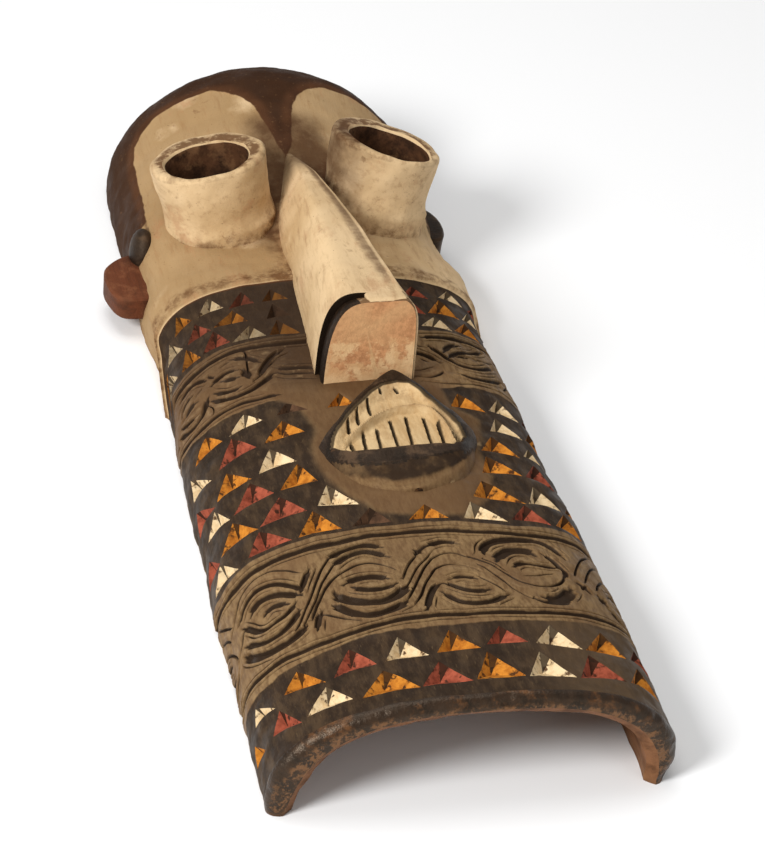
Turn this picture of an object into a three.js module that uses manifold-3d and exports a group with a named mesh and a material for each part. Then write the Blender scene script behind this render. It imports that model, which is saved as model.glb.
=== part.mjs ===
// A carved wooden face mask of a long half-round form, lying open side down.
// X runs across the face, Y from the chin to the top of the head and Z up out of the face.
// Shapes are worked out with Y counted from the chin end, and the finished solid is then
// moved so that its origin is at the middle of its lowest face. Sizes are in millimetres.
import * as THREE from "three";
import { mergeVertices } from "three/addons/utils/BufferGeometryUtils.js";
import Module from "manifold-3d";

const wasm = await Module();
wasm.setup();

// Overall form
const LENGTH = 754;
const CHEEK_LINE = 455;
const CHEEK_TILT = 5;
const CHEEK_FALL = 60;
const CHEEK_FALL_START = 0.84;
const CHEEK_REACH = 130;
const CHEEK_LIP = 3;
const CHEEK_LIP_STEP = 3;
const CHEEK_HOLLOW = 45;
const DOME_START = 666;
const DOME_POWER = 1.9;
const CHIN_ROUNDING = 7;
const LEFT_CURL = 1.5;
const RIGHT_CURL = 9;
const CURL_HEIGHT = 36;
const LEFT_HALF_WIDTH = [[0, 120], [440, 107], [480, 111], [600, 110], [DOME_START, 107.5]];
const RIGHT_HALF_WIDTH = [
  [0, 117], [120, 117], [260, 110], [440, 104.5], [480, 108], [500, 112], [517, 106], [540, 101], [640, 107],
];
const CROWN_HEIGHT = [[0, 70.7], [450, 59.2], [504, 58], [600, 79], [DOME_START, 90]];
const ROUNDNESS = [[0, 2.58], [470, 2.58], [640, 1.95]];

// Hollow behind the face
const SIDE_WALL = [[0, 19], [300, 17], [LENGTH, 14]];
const BACK_EDGE_WALL = 12;
const CROWN_WALL = 13;
const HEAD_END_WALL = 15;
const HOLLOW_ROUNDING = 5;
const HOLLOW_PITCH = 60;

// Eye tubes, each with the place and radius of its rim. The tube's outside and its bore are
// given as [change of radius, height] pairs counted from the rim.
const EYES = [
  { side: -1, spread: 60, along: 553, height: 95.5, radius: 38.5 },
  { side: 1, spread: 60, along: 558, height: 99, radius: 37.5 },
];
const EYE_LEAN_OUT = 11.5;
const EYE_LEAN_BACK = 13;
const EYE_OUTSIDE = [[-0.5, -62], [-1.5, -44], [-3.5, -38], [0, -3], [-2.5, 0]];
const EYE_BORE = [[-13, -92], [-11, -30], [-9, -2], [-6, 2]];

// Nose, whose end face is a flat facet with the nostrils cut back on both sides of it
const NOSE_TIP = 330;
const NOSE_ROOT = 588;
const NOSE_MIDDLE = 2.5;
const NOSE_HEIGHT = [[NOSE_TIP, 122], [NOSE_ROOT, 77]];
const NOSE_BASE_HALF = [[NOSE_TIP, 34], [400, 28], [510, 24], [560, 13], [NOSE_ROOT, 4]];
const NOSE_TOP_HALF = [[NOSE_TIP, 21], [440, 15.5], [530, 10], [570, 4], [NOSE_ROOT, 2]];
const NOSE_ROUNDNESS = 4;
const FACET_ROUNDNESS = 3;
const FACET_DROP = 0.5;
const FACET_BASE_INSET = 1.5;
const NOSTRIL_DEPTH = 12;
const NOSTRIL_RIM = 5;

// Mouth
const MOUTH_MIDDLE = [[248, 5], [290, 9], [322, 16]];
const MOUTH_HALF_WIDTH = 50;
const MOUTH_CORNER = 252;
const MOUTH_TOP = 324;
const MOUTH_BOTTOM = 200;
const MOUTH_RISE = [[MOUTH_BOTTOM, 6], [240, 15], [MOUTH_TOP, 11]];
const MOUTH_ROUNDNESS = 3.4;
const MOUTH_FLARE = 2;
const MOUTH_NARROWING = 0.88;
const ARCH_POWER = 0.65;
const LIP_WIDTH = 6;
const LOWER_LIP_TOP = 250;
const TEETH_SUNK = 6;
const TEETH_RISE = 3.5;
const TEETH_PITCH = 11.5;
const TEETH_SHIFT = 2;
const TEETH_GAP = 0.8;
const TOOTH_CUT_HALF = 1.6;
const TOOTH_CUT_RISE = 2;
const TOOTH_CUT_DEPTH = 2.5;

// Ears
const EARS = [
  { outer: -132, inner: -90, from: 490, to: 548, low: 12, high: 29 },
  { outer: 108, inner: 80, from: 545, to: 592, low: 12, high: 29 },
];

// Chip-carved triangles: rows of pits, each letter the paint in one pit and a dot where one is left out
const PIT_WIDTH = 24;
const PIT_HEIGHT = 19;
const PIT_DEPTH = 5;
const PIT_DEEPEST = 0.45;
const PIT_RUNS = [
  { at: 24, start: -141, pitch: 30.3, paint: "orwooowrow" },
  { at: 49, start: -131, pitch: 30.4, paint: "worworworw" },
  { at: 174, start: -122, pitch: 32.2, paint: "wrobowrow" },
  { at: 200, start: -132, pitch: 31, paint: "rorw..owo" },
  { at: 226, start: -118, pitch: 30, paint: "wro...orw" },
  { at: 247, start: -130, pitch: 29.5, paint: "row" },
  { at: 247, start: 69, pitch: 26, paint: "owr" },
  { at: 272, start: -122, pitch: 31.5, paint: "wro" },
  { at: 272, start: 78, pitch: 24, paint: "wow" },
  { at: 299, start: -133, pitch: 27, paint: "row.o" },
  { at: 299, start: 58, pitch: 26, paint: "owor" },
  { at: 395, start: -122, pitch: 21.6, paint: "worwo", size: 0.85 },
  { at: 395, start: 60, pitch: 26, paint: "wor", size: 0.85 },
  { at: 419, start: -110, pitch: 24, paint: "wror", size: 0.85 },
  { at: 419, start: 61, pitch: 22, paint: "row", size: 0.85 },
  { at: 438, start: -101, pitch: 23, paint: "owro", size: 0.85 },
  { at: 438, start: 59, pitch: 26, paint: "rw", size: 0.85 },
];

// Carved bands: a plait of two strands round a row of eyes, between border lines
const BANDS = [
  {
    borders: [75, 82, 166, 173], eyes: [-99, -37, 17, 65, 112], ends: [-150, 160],
    swing: 25, edges: [-9, 9], eyeWide: 15, eyeHigh: 12,
  },
  {
    borders: [326, 389], eyes: [-109, -75, -30, 22, 65, 103], ends: [-140, 140],
    swing: 17, edges: [0], eyeWide: 12, eyeHigh: 7,
  },
];
const STRAND_STEPS = 6;
const EYE_STEPS = 7;
const EDGE_MARGIN = 12;
const GROOVE_WIDTH = 4;
const GROOVE_DEPTH = 2.5;
const UNDER_GAP = 0.17;

// Stations of the body's rings away from the band borders and the dome
const BODY_LINES = [
  45, 120, 222.5, 269, 295, 353, 415.5, CHEEK_LINE, CHEEK_LINE + CHEEK_LIP_STEP,
  480, 500, 520, 545, 575, 605, 635,
];
const SECTION_STEPS = 18;
const HOLLOW_STEPS = 12;
const RIDGE_STEPS = 12;
const ARC_STEPS = 120;
const RIDGE_SINK = 20;
const OVERCUT = 6;
const PIT_OVERCUT = 2.5;
const GROOVE_OVERCUT = 1;
const DEGREE = Math.PI / 180;

function between(value, low, high) {
  return Math.min(high, Math.max(low, value));
}

function smoothStep(value) {
  const t = between(value, 0, 1);
  return t * t * (3 - 2 * t);
}

// Value at y on the straight lines that join [y, value] pairs.
function along(y, pairs) {
  if (y <= pairs[0][0]) {
    return pairs[0][1];
  }
  for (let i = 1; i < pairs.length; i += 1) {
    const [y0, v0] = pairs[i - 1];
    const [y1, v1] = pairs[i];
    if (y <= y1) {
      return v0 + (v1 - v0) * ((y - y0) / (y1 - y0));
    }
  }
  return pairs[pairs.length - 1][1];
}

function signedPower(value, power) {
  return Math.sign(value) * Math.abs(value) ** power;
}

// Point of a half-round section: turn runs from -1 at the left edge to 1 at the right edge.
function sectionPoint(left, right, height, roundness, turn) {
  const angle = turn * Math.PI / 2;
  const x = signedPower(Math.sin(angle), 2 / roundness);
  const z = Math.abs(Math.cos(angle)) ** (2 / roundness);
  return [x * (x < 0 ? left : right), z * height];
}

function domeShrink(y, start, end) {
  const t = between((y - start) / (end - start), 0, 1);
  return (1 - t ** DOME_POWER) ** (1 / DOME_POWER);
}

// The walls lean in a little near the back edge.
function curl(x, z) {
  const low = between(1 - z / CURL_HEIGHT, 0, 1);
  const depth = x < 0 ? LEFT_CURL : RIGHT_CURL;
  return x * (1 - depth / LEFT_HALF_WIDTH[0][1] * low * low);
}

// The lower edge of the cheeks runs straight over the face and drops down each side.
function cheekEdge(turn) {
  const fall = smoothStep((Math.abs(turn) - CHEEK_FALL_START) / (1 - CHEEK_FALL_START));
  return CHEEK_LINE + CHEEK_TILT * turn - CHEEK_FALL * fall;
}

// A station is a line across the face that bends with the cheek edge where it is close to it.
function bent(station, turn) {
  const closeness = 1 - smoothStep(Math.abs(station - CHEEK_LINE) / CHEEK_REACH);
  return station + (cheekEdge(turn) - CHEEK_LINE) * closeness;
}

// The cheeks start with a raised lip and dip behind it.
function lipRise(station) {
  const past = station - CHEEK_LINE;
  return CHEEK_LIP * between(past / CHEEK_LIP_STEP, 0, 1) * (1 - smoothStep(past / CHEEK_HOLLOW));
}

// Outer skin of the face at y, with inset taken off all round.
function outerPoint(station, turn, inset = 0) {
  const y = bent(station, turn);
  const shrink = domeShrink(y, DOME_START, LENGTH);
  const swell = lipRise(station) - inset;
  const left = (along(y, LEFT_HALF_WIDTH) + swell) * shrink;
  const right = (along(y, RIGHT_HALF_WIDTH) + swell) * shrink;
  const height = (along(y, CROWN_HEIGHT) + swell) * shrink;
  const [x, z] = sectionPoint(left, right, height, along(y, ROUNDNESS), turn);
  return [curl(x, z), y, z];
}

// Closed solid from rows of points, each row a ring in one plane across Y.
function loft(rows, closed = false) {
  const count = rows[0].length;
  const positions = rows.flat(2);
  const faces = [];
  for (let row = 0; row + (closed ? 0 : 1) < rows.length; row += 1) {
    const next = (row + 1) % rows.length;
    for (let i = 0; i < count; i += 1) {
      const j = (i + 1) % count;
      faces.push(row * count + i, row * count + j, next * count + i);
      faces.push(row * count + j, next * count + j, next * count + i);
    }
  }
  for (const isStart of closed ? [] : [true, false]) {
    const first = isStart ? 0 : (rows.length - 1) * count;
    const ring = rows[isStart ? 0 : rows.length - 1];
    const middle = positions.length / 3;
    for (let axis = 0; axis < 3; axis += 1) {
      positions.push(ring.reduce((sum, point) => sum + point[axis], 0) / count);
    }
    for (let i = 0; i < count; i += 1) {
      const a = first + i;
      const b = first + (i + 1) % count;
      faces.push(...(isStart ? [b, a, middle] : [a, b, middle]));
    }
  }
  const geometry = new THREE.BufferGeometry();
  geometry.setAttribute("position", new THREE.Float32BufferAttribute(positions, 3));
  geometry.setIndex(faces);
  return geometry;
}

// Solid for joining and cutting, from a closed geometry.
function solid(geometry) {
  let bare = geometry.clone();
  bare.deleteAttribute("normal");
  bare.deleteAttribute("uv");
  bare = mergeVertices(bare, 1e-4);
  return new wasm.Manifold(new wasm.Mesh({
    numProp: 3,
    vertProperties: new Float32Array(bare.attributes.position.array),
    triVerts: new Uint32Array(bare.index.array),
  }));
}

function geometryOf(shape) {
  const mesh = shape.getMesh();
  const geometry = new THREE.BufferGeometry();
  geometry.setAttribute("position", new THREE.BufferAttribute(mesh.vertProperties, 3));
  geometry.setIndex(new THREE.BufferAttribute(mesh.triVerts, 1));
  return geometry;
}

function turns(steps) {
  return Array.from({ length: steps + 1 }, (_, i) => -1 + 2 * i / steps);
}

// Outside of the face plate and the head, filled in behind.
function bodySolid() {
  const rows = [];
  for (let k = 0; k <= 2; k += 1) {
    const angle = k * Math.PI / 4;
    const inset = CHIN_ROUNDING * (1 - Math.sin(angle));
    const y = CHIN_ROUNDING * (1 - Math.cos(angle));
    rows.push(turns(SECTION_STEPS).map((turn) => outerPoint(y, turn, inset)));
  }
  const stops = BODY_LINES.map((station) => [station, 0]);
  for (const band of BANDS) {
    for (const line of band.borders) {
      stops.push([line - GROOVE_WIDTH / 2, 0], [line, GROOVE_DEPTH], [line + GROOVE_WIDTH / 2, 0]);
    }
  }
  stops.sort((a, b) => a[0] - b[0]);
  for (const [station, inset] of stops) {
    rows.push(turns(SECTION_STEPS).map((turn) => outerPoint(station, turn, inset)));
  }
  for (let k = 0; k <= 6; k += 1) {
    const y = DOME_START + (LENGTH - DOME_START) * Math.sin(k * Math.PI / 12.6);
    rows.push(turns(SECTION_STEPS).map((turn) => outerPoint(y, turn)));
  }
  return solid(loft(rows));
}

// Space behind the face, open at the back and at the chin end.
function hollowSolid() {
  const end = LENGTH - HEAD_END_WALL;
  const ring = (y, flare) => {
    const shrink = domeShrink(y, DOME_START, end);
    const wall = along(y, SIDE_WALL);
    const left = (along(y, LEFT_HALF_WIDTH) - wall + flare) * shrink;
    const right = (along(y, RIGHT_HALF_WIDTH) - wall + flare) * shrink;
    const height = (along(y, CROWN_HEIGHT) - CROWN_WALL + flare) * shrink;
    const arch = turns(HOLLOW_STEPS).map((turn) => {
      const [x, z] = sectionPoint(left, right, height, along(y, ROUNDNESS), turn);
      const thinning = (wall - BACK_EDGE_WALL) * between(1 - z / CURL_HEIGHT, 0, 1) ** 2;
      return [curl(x + Math.sign(x) * thinning, z), y, z];
    });
    const [first, last] = [arch[0], arch[arch.length - 1]];
    return [[first[0], y, -OVERCUT], ...arch, [last[0], y, -OVERCUT]];
  };
  const rows = [ring(-OVERCUT, HOLLOW_ROUNDING)];
  for (let k = 0; k <= 2; k += 1) {
    const angle = k * Math.PI / 4;
    rows.push(ring(HOLLOW_ROUNDING * Math.sin(angle), HOLLOW_ROUNDING * (1 - Math.sin(angle))));
  }
  for (let y = HOLLOW_PITCH; y < DOME_START; y += HOLLOW_PITCH) {
    rows.push(ring(y, 0));
  }
  for (let k = 0; k <= 5; k += 1) {
    rows.push(ring(DOME_START + (end - DOME_START) * Math.sin(k * Math.PI / 11), 0));
  }
  return solid(loft(rows));
}

// A turned solid whose axis points the way that the eye looks, with height 0 at its rim.
function eyeTurning(eye, steps, sides) {
  const profile = [
    new THREE.Vector2(0, steps[0][1]),
    ...steps.map(([change, height]) => new THREE.Vector2(eye.radius + change, height)),
    new THREE.Vector2(0, steps[steps.length - 1][1]),
  ];
  const geometry = new THREE.LatheGeometry(profile, sides);
  const out = Math.tan(EYE_LEAN_OUT * DEGREE);
  const back = Math.tan(EYE_LEAN_BACK * DEGREE);
  const axis = new THREE.Vector3(eye.side * out, back, 1).normalize();
  geometry.applyQuaternion(new THREE.Quaternion().setFromUnitVectors(new THREE.Vector3(0, 1, 0), axis));
  geometry.translate(eye.side * eye.spread, eye.along, eye.height);
  return solid(geometry);
}

// Ring across a ridge that stands on the face: wide at its base, narrower and rounded at its top.
function ridgeRing(y, middle, baseHalf, topHalf, top, roundness) {
  const base = crownAt(y) - RIDGE_SINK;
  return turns(RIDGE_STEPS).map((turn) => {
    const [side, rise] = sectionPoint(1, 1, 1, roundness, turn);
    const half = baseHalf + (topHalf - baseHalf) * rise;
    return [middle + side * half, y, base + (top - base) * rise];
  });
}

function crownAt(y) {
  return along(y, CROWN_HEIGHT) * domeShrink(y, DOME_START, LENGTH);
}

function noseSolid() {
  const bridge = [];
  const start = NOSE_TIP + NOSTRIL_DEPTH;
  for (let k = 0; k <= 9; k += 1) {
    const y = start + (NOSE_ROOT - start) * k / 9;
    const base = along(y, NOSE_BASE_HALF);
    const top = along(y, NOSE_TOP_HALF);
    bridge.push(ridgeRing(y, NOSE_MIDDLE, base, top, along(y, NOSE_HEIGHT), NOSE_ROUNDNESS));
  }
  const facet = [NOSE_TIP, NOSE_TIP + 2 * NOSTRIL_DEPTH].map((y) => {
    const base = along(y, NOSE_BASE_HALF) - FACET_BASE_INSET;
    const top = along(y, NOSE_TOP_HALF) - NOSTRIL_RIM;
    return ridgeRing(y, NOSE_MIDDLE, base, top, along(y, NOSE_HEIGHT) - FACET_DROP, FACET_ROUNDNESS);
  });
  return solid(loft(bridge)).add(solid(loft(facet)));
}

function mouthHalf(y) {
  if (y < MOUTH_CORNER) {
    const t = (MOUTH_CORNER - y) / (MOUTH_CORNER - MOUTH_BOTTOM);
    return MOUTH_HALF_WIDTH * Math.sqrt(Math.max(0, 1 - t * t));
  }
  const t = (y - MOUTH_CORNER) / (MOUTH_TOP - MOUTH_CORNER);
  return MOUTH_HALF_WIDTH * Math.max(0, 1 - t) ** ARCH_POWER;
}

function mouthTop(y) {
  return crownAt(y) + along(y, MOUTH_RISE);
}

// Raised block that carries both lips and slopes down to the chin.
function mouthSolid() {
  const rows = [];
  for (let k = 0; k <= 4; k += 1) {
    rows.push(MOUTH_CORNER - (MOUTH_CORNER - MOUTH_BOTTOM) * Math.cos(k * Math.PI / 8) * 0.99);
  }
  for (let k = 1; k <= 6; k += 1) {
    rows.push(MOUTH_CORNER + (MOUTH_TOP - MOUTH_CORNER) * Math.sin(k * Math.PI / 12.4));
  }
  return solid(loft(rows.map((y) => {
    const half = mouthHalf(y);
    const top = half * MOUTH_NARROWING;
    return ridgeRing(y, along(y, MOUTH_MIDDLE), half + MOUTH_FLARE, top, mouthTop(y), MOUTH_ROUNDNESS);
  })));
}

// The open mouth inside the lips, inset from the block's outline, as a solid from floor to top.
function mouthInside(inset, floor, top, roundness) {
  const rows = [];
  const end = MOUTH_TOP - LIP_WIDTH - inset;
  for (let k = 0; k <= 6; k += 1) {
    const y = LOWER_LIP_TOP + inset + (end - LOWER_LIP_TOP - inset) * k / 6;
    const half = Math.max(1.5, mouthHalf(y + LIP_WIDTH / 2) - LIP_WIDTH - inset);
    const level = mouthTop(y);
    const ring = turns(10).map((turn) => {
      const [side, rise] = sectionPoint(1, 1, 1, roundness, turn);
      return [along(y, MOUTH_MIDDLE) + side * half, y, level + floor + (top - floor) * rise];
    });
    rows.push(ring);
  }
  return solid(loft(rows));
}

// Upright cuts between the teeth.
function toothCut(x) {
  const rows = [LOWER_LIP_TOP - 2, MOUTH_TOP - LIP_WIDTH].map((y) => {
    const level = mouthTop(y) - TEETH_SUNK + TEETH_RISE;
    const high = level + TOOTH_CUT_RISE;
    return [[x - TOOTH_CUT_HALF, y, high], [x + TOOTH_CUT_HALF, y, high], [x, y, level - TOOTH_CUT_DEPTH]];
  });
  return solid(loft(rows));
}

function teethSolid() {
  let teeth = mouthInside(TEETH_GAP, -TEETH_SUNK - 4, TEETH_RISE - TEETH_SUNK, 2);
  for (let i = -3; i <= 3; i += 1) {
    teeth = teeth.subtract(toothCut(MOUTH_MIDDLE[0][1] + TEETH_SHIFT + i * TEETH_PITCH));
  }
  return teeth;
}

function earSolid(ear) {
  const half = (ear.to - ear.from) / 2;
  const middle = (ear.to + ear.from) / 2;
  const side = Math.sign(ear.outer);
  const plan = new THREE.Shape();
  const reach = Math.abs(ear.outer) - Math.abs(ear.inner);
  plan.moveTo(0, -half);
  for (let k = 0; k <= 8; k += 1) {
    const angle = (k / 8 - 0.5) * Math.PI;
    const across = Math.cos(angle) ** 0.5 * reach;
    plan.lineTo(Math.max(0.01, across), Math.sin(angle) * half);
  }
  plan.lineTo(0, half);
  const geometry = new THREE.ExtrudeGeometry(plan, { depth: ear.high - ear.low, bevelEnabled: false });
  if (side < 0) {
    geometry.rotateY(Math.PI);
    geometry.translate(0, 0, ear.high - ear.low);
  }
  geometry.translate(ear.inner, middle, ear.low);
  return solid(geometry);
}

// Arc length across the face at a station, from the middle, for evenly spaced turns.
const measured = new Map();
function arcTable(station) {
  const key = Math.round(station * 4);
  if (!measured.has(key)) {
    const table = turns(ARC_STEPS).map((turn) => ({ turn, point: outerPoint(key / 4, turn), arc: 0 }));
    for (let i = 1; i < table.length; i += 1) {
      const [a, b] = [table[i - 1].point, table[i].point];
      table[i].arc = table[i - 1].arc + Math.hypot(b[0] - a[0], b[2] - a[2]);
    }
    const middle = table[ARC_STEPS / 2].arc;
    for (const entry of table) {
      entry.arc -= middle;
    }
    measured.set(key, table);
  }
  return measured.get(key);
}

function halfArc(station) {
  return arcTable(station)[ARC_STEPS].arc;
}

// Point of the face's skin at an arc length across and a station along.
function skinPoint(across, station) {
  const table = arcTable(station);
  let i = 1;
  while (i < table.length - 1 && table[i].arc < across) {
    i += 1;
  }
  const [a, b] = [table[i - 1], table[i]];
  const t = (across - a.arc) / (b.arc - a.arc);
  return new THREE.Vector3(...outerPoint(station, a.turn + (b.turn - a.turn) * t));
}

function skinNormal(across, station) {
  const wide = skinPoint(across + 1, station).sub(skinPoint(across - 1, station));
  const long = skinPoint(across, station + 1).sub(skinPoint(across, station - 1));
  return wide.cross(long).normalize();
}

// A pit of three facets that meet in a deep point near the middle.
function pitSolid(across, station, size) {
  const deepest = station + PIT_HEIGHT * size * PIT_DEEPEST;
  const tip = skinPoint(across, deepest).addScaledVector(skinNormal(across, deepest), -PIT_DEPTH);
  const corners = [
    skinPoint(across - PIT_WIDTH * size / 2, station),
    skinPoint(across + PIT_WIDTH * size / 2, station),
    skinPoint(across, station + PIT_HEIGHT * size),
  ];
  const above = 1 + PIT_OVERCUT / PIT_DEPTH;
  const top = corners.map((corner) => corner.sub(tip).multiplyScalar(above).add(tip));
  const geometry = new THREE.BufferGeometry();
  geometry.setFromPoints([...top, tip]);
  geometry.setIndex([0, 1, 2, 1, 0, 3, 2, 1, 3, 0, 2, 3]);
  return solid(geometry);
}

// A groove of V section along a path of [across, station] points.
function grooveSolid(path, closed) {
  const rows = path.map(([across, station], i) => {
    const before = path[closed ? (i + path.length - 1) % path.length : Math.max(0, i - 1)];
    const after = path[closed ? (i + 1) % path.length : Math.min(path.length - 1, i + 1)];
    const point = skinPoint(across, station);
    const normal = skinNormal(across, station);
    const forward = skinPoint(...after).sub(skinPoint(...before)).normalize();
    const right = forward.cross(normal).normalize();
    const half = GROOVE_WIDTH / 2 * (1 + GROOVE_OVERCUT / GROOVE_DEPTH);
    const place = (side, lift) => point.clone().addScaledVector(right, side).addScaledVector(normal, lift);
    const corners = [place(-half, GROOVE_OVERCUT), place(half, GROOVE_OVERCUT), place(0, -GROOVE_DEPTH)];
    return corners.map((corner) => corner.toArray());
  });
  return solid(loft(rows, closed));
}

// Height of a strand at a place between two eyes, which it passes on opposite sides.
function strandHeight(share, from, swing) {
  return from * swing * Math.cos(Math.PI * share);
}

// The strand that rises from one eye to the next lies over the one that falls.
function strandPaths(band, start, edge) {
  const middle = bandMiddle(band);
  const stops = [band.ends[0], ...band.eyes, band.ends[1]];
  const paths = [[]];
  for (let i = 0; i + 1 < stops.length; i += 1) {
    const from = i % 2 === 0 ? start : -start;
    for (let k = 0; k < STRAND_STEPS; k += 1) {
      const share = k / STRAND_STEPS;
      const across = stops[i] + (stops[i + 1] - stops[i]) * share;
      const isHidden = from > 0 && Math.abs(share - 0.5) < UNDER_GAP;
      if (isHidden || Math.abs(across) > halfArc(middle) - EDGE_MARGIN) {
        paths.push([]);
      } else {
        paths[paths.length - 1].push([across, middle + strandHeight(share, from, band.swing) + edge]);
      }
    }
  }
  return paths.filter((path) => path.length > 1);
}

function bandMiddle(band) {
  return (band.borders[0] + band.borders[band.borders.length - 1]) / 2;
}

function bandGrooves(band) {
  const grooves = [];
  for (const start of [-1, 1]) {
    for (const edge of band.edges) {
      grooves.push(...strandPaths(band, start, edge).map((path) => grooveSolid(path, false)));
    }
  }
  for (const eye of band.eyes) {
    const ring = [];
    for (let k = 0; k < EYE_STEPS; k += 1) {
      const angle = k * 2 * Math.PI / EYE_STEPS;
      ring.push([eye + band.eyeWide * Math.cos(angle), bandMiddle(band) + band.eyeHigh * Math.sin(angle)]);
    }
    grooves.push(grooveSolid(ring, true));
  }
  return grooves;
}

function pitSolids() {
  const pits = [];
  for (const run of PIT_RUNS) {
    [...run.paint].forEach((letter, i) => {
      const across = run.start + run.pitch * i;
      const reach = halfArc(run.at);
      if (letter !== "." && Math.abs(across) + PIT_WIDTH / 2 < reach) {
        pits.push(pitSolid(across, run.at, run.size ?? 1));
      }
    });
  }
  return pits;
}

let body = bodySolid();
for (const carving of [...pitSolids(), ...BANDS.flatMap(bandGrooves)]) {
  body = body.subtract(carving);
}
for (const eye of EYES) {
  body = body.add(eyeTurning(eye, EYE_OUTSIDE, 26));
}
body = body.add(noseSolid());
body = body.add(mouthSolid().subtract(mouthInside(0, -TEETH_SUNK, 4, 6)).add(teethSolid()));
for (const ear of EARS) {
  body = body.add(earSolid(ear));
}
body = body.subtract(hollowSolid());
for (const eye of EYES) {
  body = body.subtract(eyeTurning(eye, EYE_BORE, 20));
}

const material = new THREE.MeshStandardMaterial({ color: 0x8a6a48, roughness: 0.8, metalness: 0 });
const mask = new THREE.Mesh(geometryOf(body), material);
mask.name = "mask";
const box = new THREE.Box3().setFromObject(mask);
mask.position.set(-(box.min.x + box.max.x) / 2, -(box.min.y + box.max.y) / 2, -box.min.z);

const part = new THREE.Group();
part.add(mask);

export default part;
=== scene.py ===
"""A carved and painted half-round wooden mask with tube eyes, lying on a pale floor.

Shapes are worked out in millimetres with Y counted from the chin end, as in the part's source,
and are moved into the row frame, in metres, when the piece is made.
"""

import math

import bmesh
import bpy
import numpy as np
from mathutils import Matrix, Vector
from mathutils.geometry import delaunay_2d_cdt


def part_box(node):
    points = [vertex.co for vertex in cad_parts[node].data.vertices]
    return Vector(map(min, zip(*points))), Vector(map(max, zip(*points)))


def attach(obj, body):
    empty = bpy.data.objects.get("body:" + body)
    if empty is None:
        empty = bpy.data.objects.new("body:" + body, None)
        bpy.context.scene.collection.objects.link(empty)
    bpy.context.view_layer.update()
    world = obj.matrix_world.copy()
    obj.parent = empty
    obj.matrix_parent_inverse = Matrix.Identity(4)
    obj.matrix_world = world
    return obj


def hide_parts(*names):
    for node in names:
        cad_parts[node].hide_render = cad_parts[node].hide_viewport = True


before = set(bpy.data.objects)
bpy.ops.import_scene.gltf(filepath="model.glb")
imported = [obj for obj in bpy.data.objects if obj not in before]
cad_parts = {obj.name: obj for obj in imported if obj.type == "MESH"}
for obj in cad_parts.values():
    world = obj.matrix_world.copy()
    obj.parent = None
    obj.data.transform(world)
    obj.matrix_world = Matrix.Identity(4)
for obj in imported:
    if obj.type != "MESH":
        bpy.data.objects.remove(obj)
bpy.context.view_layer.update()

# Overall form, as in the source
LENGTH = 754.0
CHEEK_LINE = 455.0
CHEEK_TILT = 5.0
CHEEK_FALL = 60.0
CHEEK_FALL_START = 0.84
CHEEK_REACH = 130.0
CHEEK_LIP = 3.0
CHEEK_LIP_STEP = 3.0
CHEEK_HOLLOW = 45.0
DOME_START = 666.0
DOME_POWER = 1.9
CHIN_ROUNDING = 7.0
LEFT_CURL = 1.5
RIGHT_CURL = 9.0
CURL_HEIGHT = 36.0
LEFT_HALF_WIDTH = ((0, 120), (440, 107), (480, 111), (600, 110), (666, 107.5))
RIGHT_HALF_WIDTH = (
    (0, 117), (120, 117), (260, 112.5), (440, 107.5), (480, 111), (500, 114.5), (517, 108.5), (540, 103.5),
    (640, 108.5),
)
CROWN_HEIGHT = ((0, 70.7), (450, 59.2), (504, 58), (600, 79), (666, 90))
ROUNDNESS = ((0, 2.58), (470, 2.58), (640, 1.95))
LEFT_FULLNESS = ((430, 0), (470, 0.8), (540, 0.8), (600, 0))
LEFT_SWELL = ((0, 2), (60, 3.5), (180, 5.5), (300, 4), (400, 2), (440, 1))
SIDE_WALL = ((0, 19), (300, 17), (754, 14))
BACK_EDGE_WALL = 12.0
CROWN_WALL = 13.0
HEAD_END_WALL = 15.0
HOLLOW_ROUNDING = 5.0
OVERCUT = 6.0
COLUMNS = 181  # vertices across the head and across both ends of the lower face
CHIN_STEPS = 6
JITTER = 0.03  # keeps the solids' edges from lying exactly on one another
# Eye tubes; askew tips the rim sideways and back, and shaded darkens the side towards the nose
EYES = (
    {"side": -1, "spread": 60, "along": 553, "height": 95.5, "radius": 38.5, "wall": 11.5,
     "askew": (0.0, 0.07), "shaded": 0.0},
    {"side": 1, "spread": 61, "along": 558, "height": 99, "radius": 37.5, "wall": 10,
     "askew": (-0.08, 0.07), "shaded": 0.8},
)
EYE_SIDES = 96
BORE_FORWARD = 5.5  # how much nearer the chin the bores lie than the tubes
BORE_OUTWARD = 1.5
EYE_LEAN_OUT = math.radians(11.5)
EYE_LEAN_BACK = math.radians(13)
NOSE_TIP = 330.0
NOSE_ROOT = 588.0
NOSE_MIDDLE = 2.5
NOSE_HEIGHT = ((330, 121.3), (380, 114.5), (440, 105.5), (500, 96), (545, 88), (588, 77))
NOSE_BASE_LEFT = (
    (330, 32), (370, 29.5), (400, 27.5), (435, 26.5), (463, 25.5), (510, 26), (533, 24), (555, 18),
    (577, 11.5),
    (588, 7),
)
NOSE_BASE_RIGHT = ((330, 30.5), (400, 27.5), (510, 24), (560, 13), (588, 4))
NOSE_TOP_LEFT = ((330, 32), (370, 25.5), (400, 21.5), (500, 12), (560, 6), (588, 3))
NOSE_TOP_RIGHT = ((330, 21.5), (380, 19.5), (440, 17.5), (500, 13.5), (545, 9), (588, 2))
NOSE_LEFT_ROUNDNESS = ((342, 4.2), (400, 3.4), (500, 2.8))
FACET_HALF = 29.5
FACET_TOP = 120.6
NOSTRIL_DEPTH = 12.0
RIDGE_SINK = 20.0
MOUTH_MIDDLE = ((248, 5), (290, 9), (322, 16))
MOUTH_HALF_WIDTH = 50.0
MOUTH_CORNER = 252.0
MOUTH_TOP = 324.0
MOUTH_BOTTOM = 200.0
MOUTH_RISE = ((200, 6), (240, 15), (324, 11))
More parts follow.
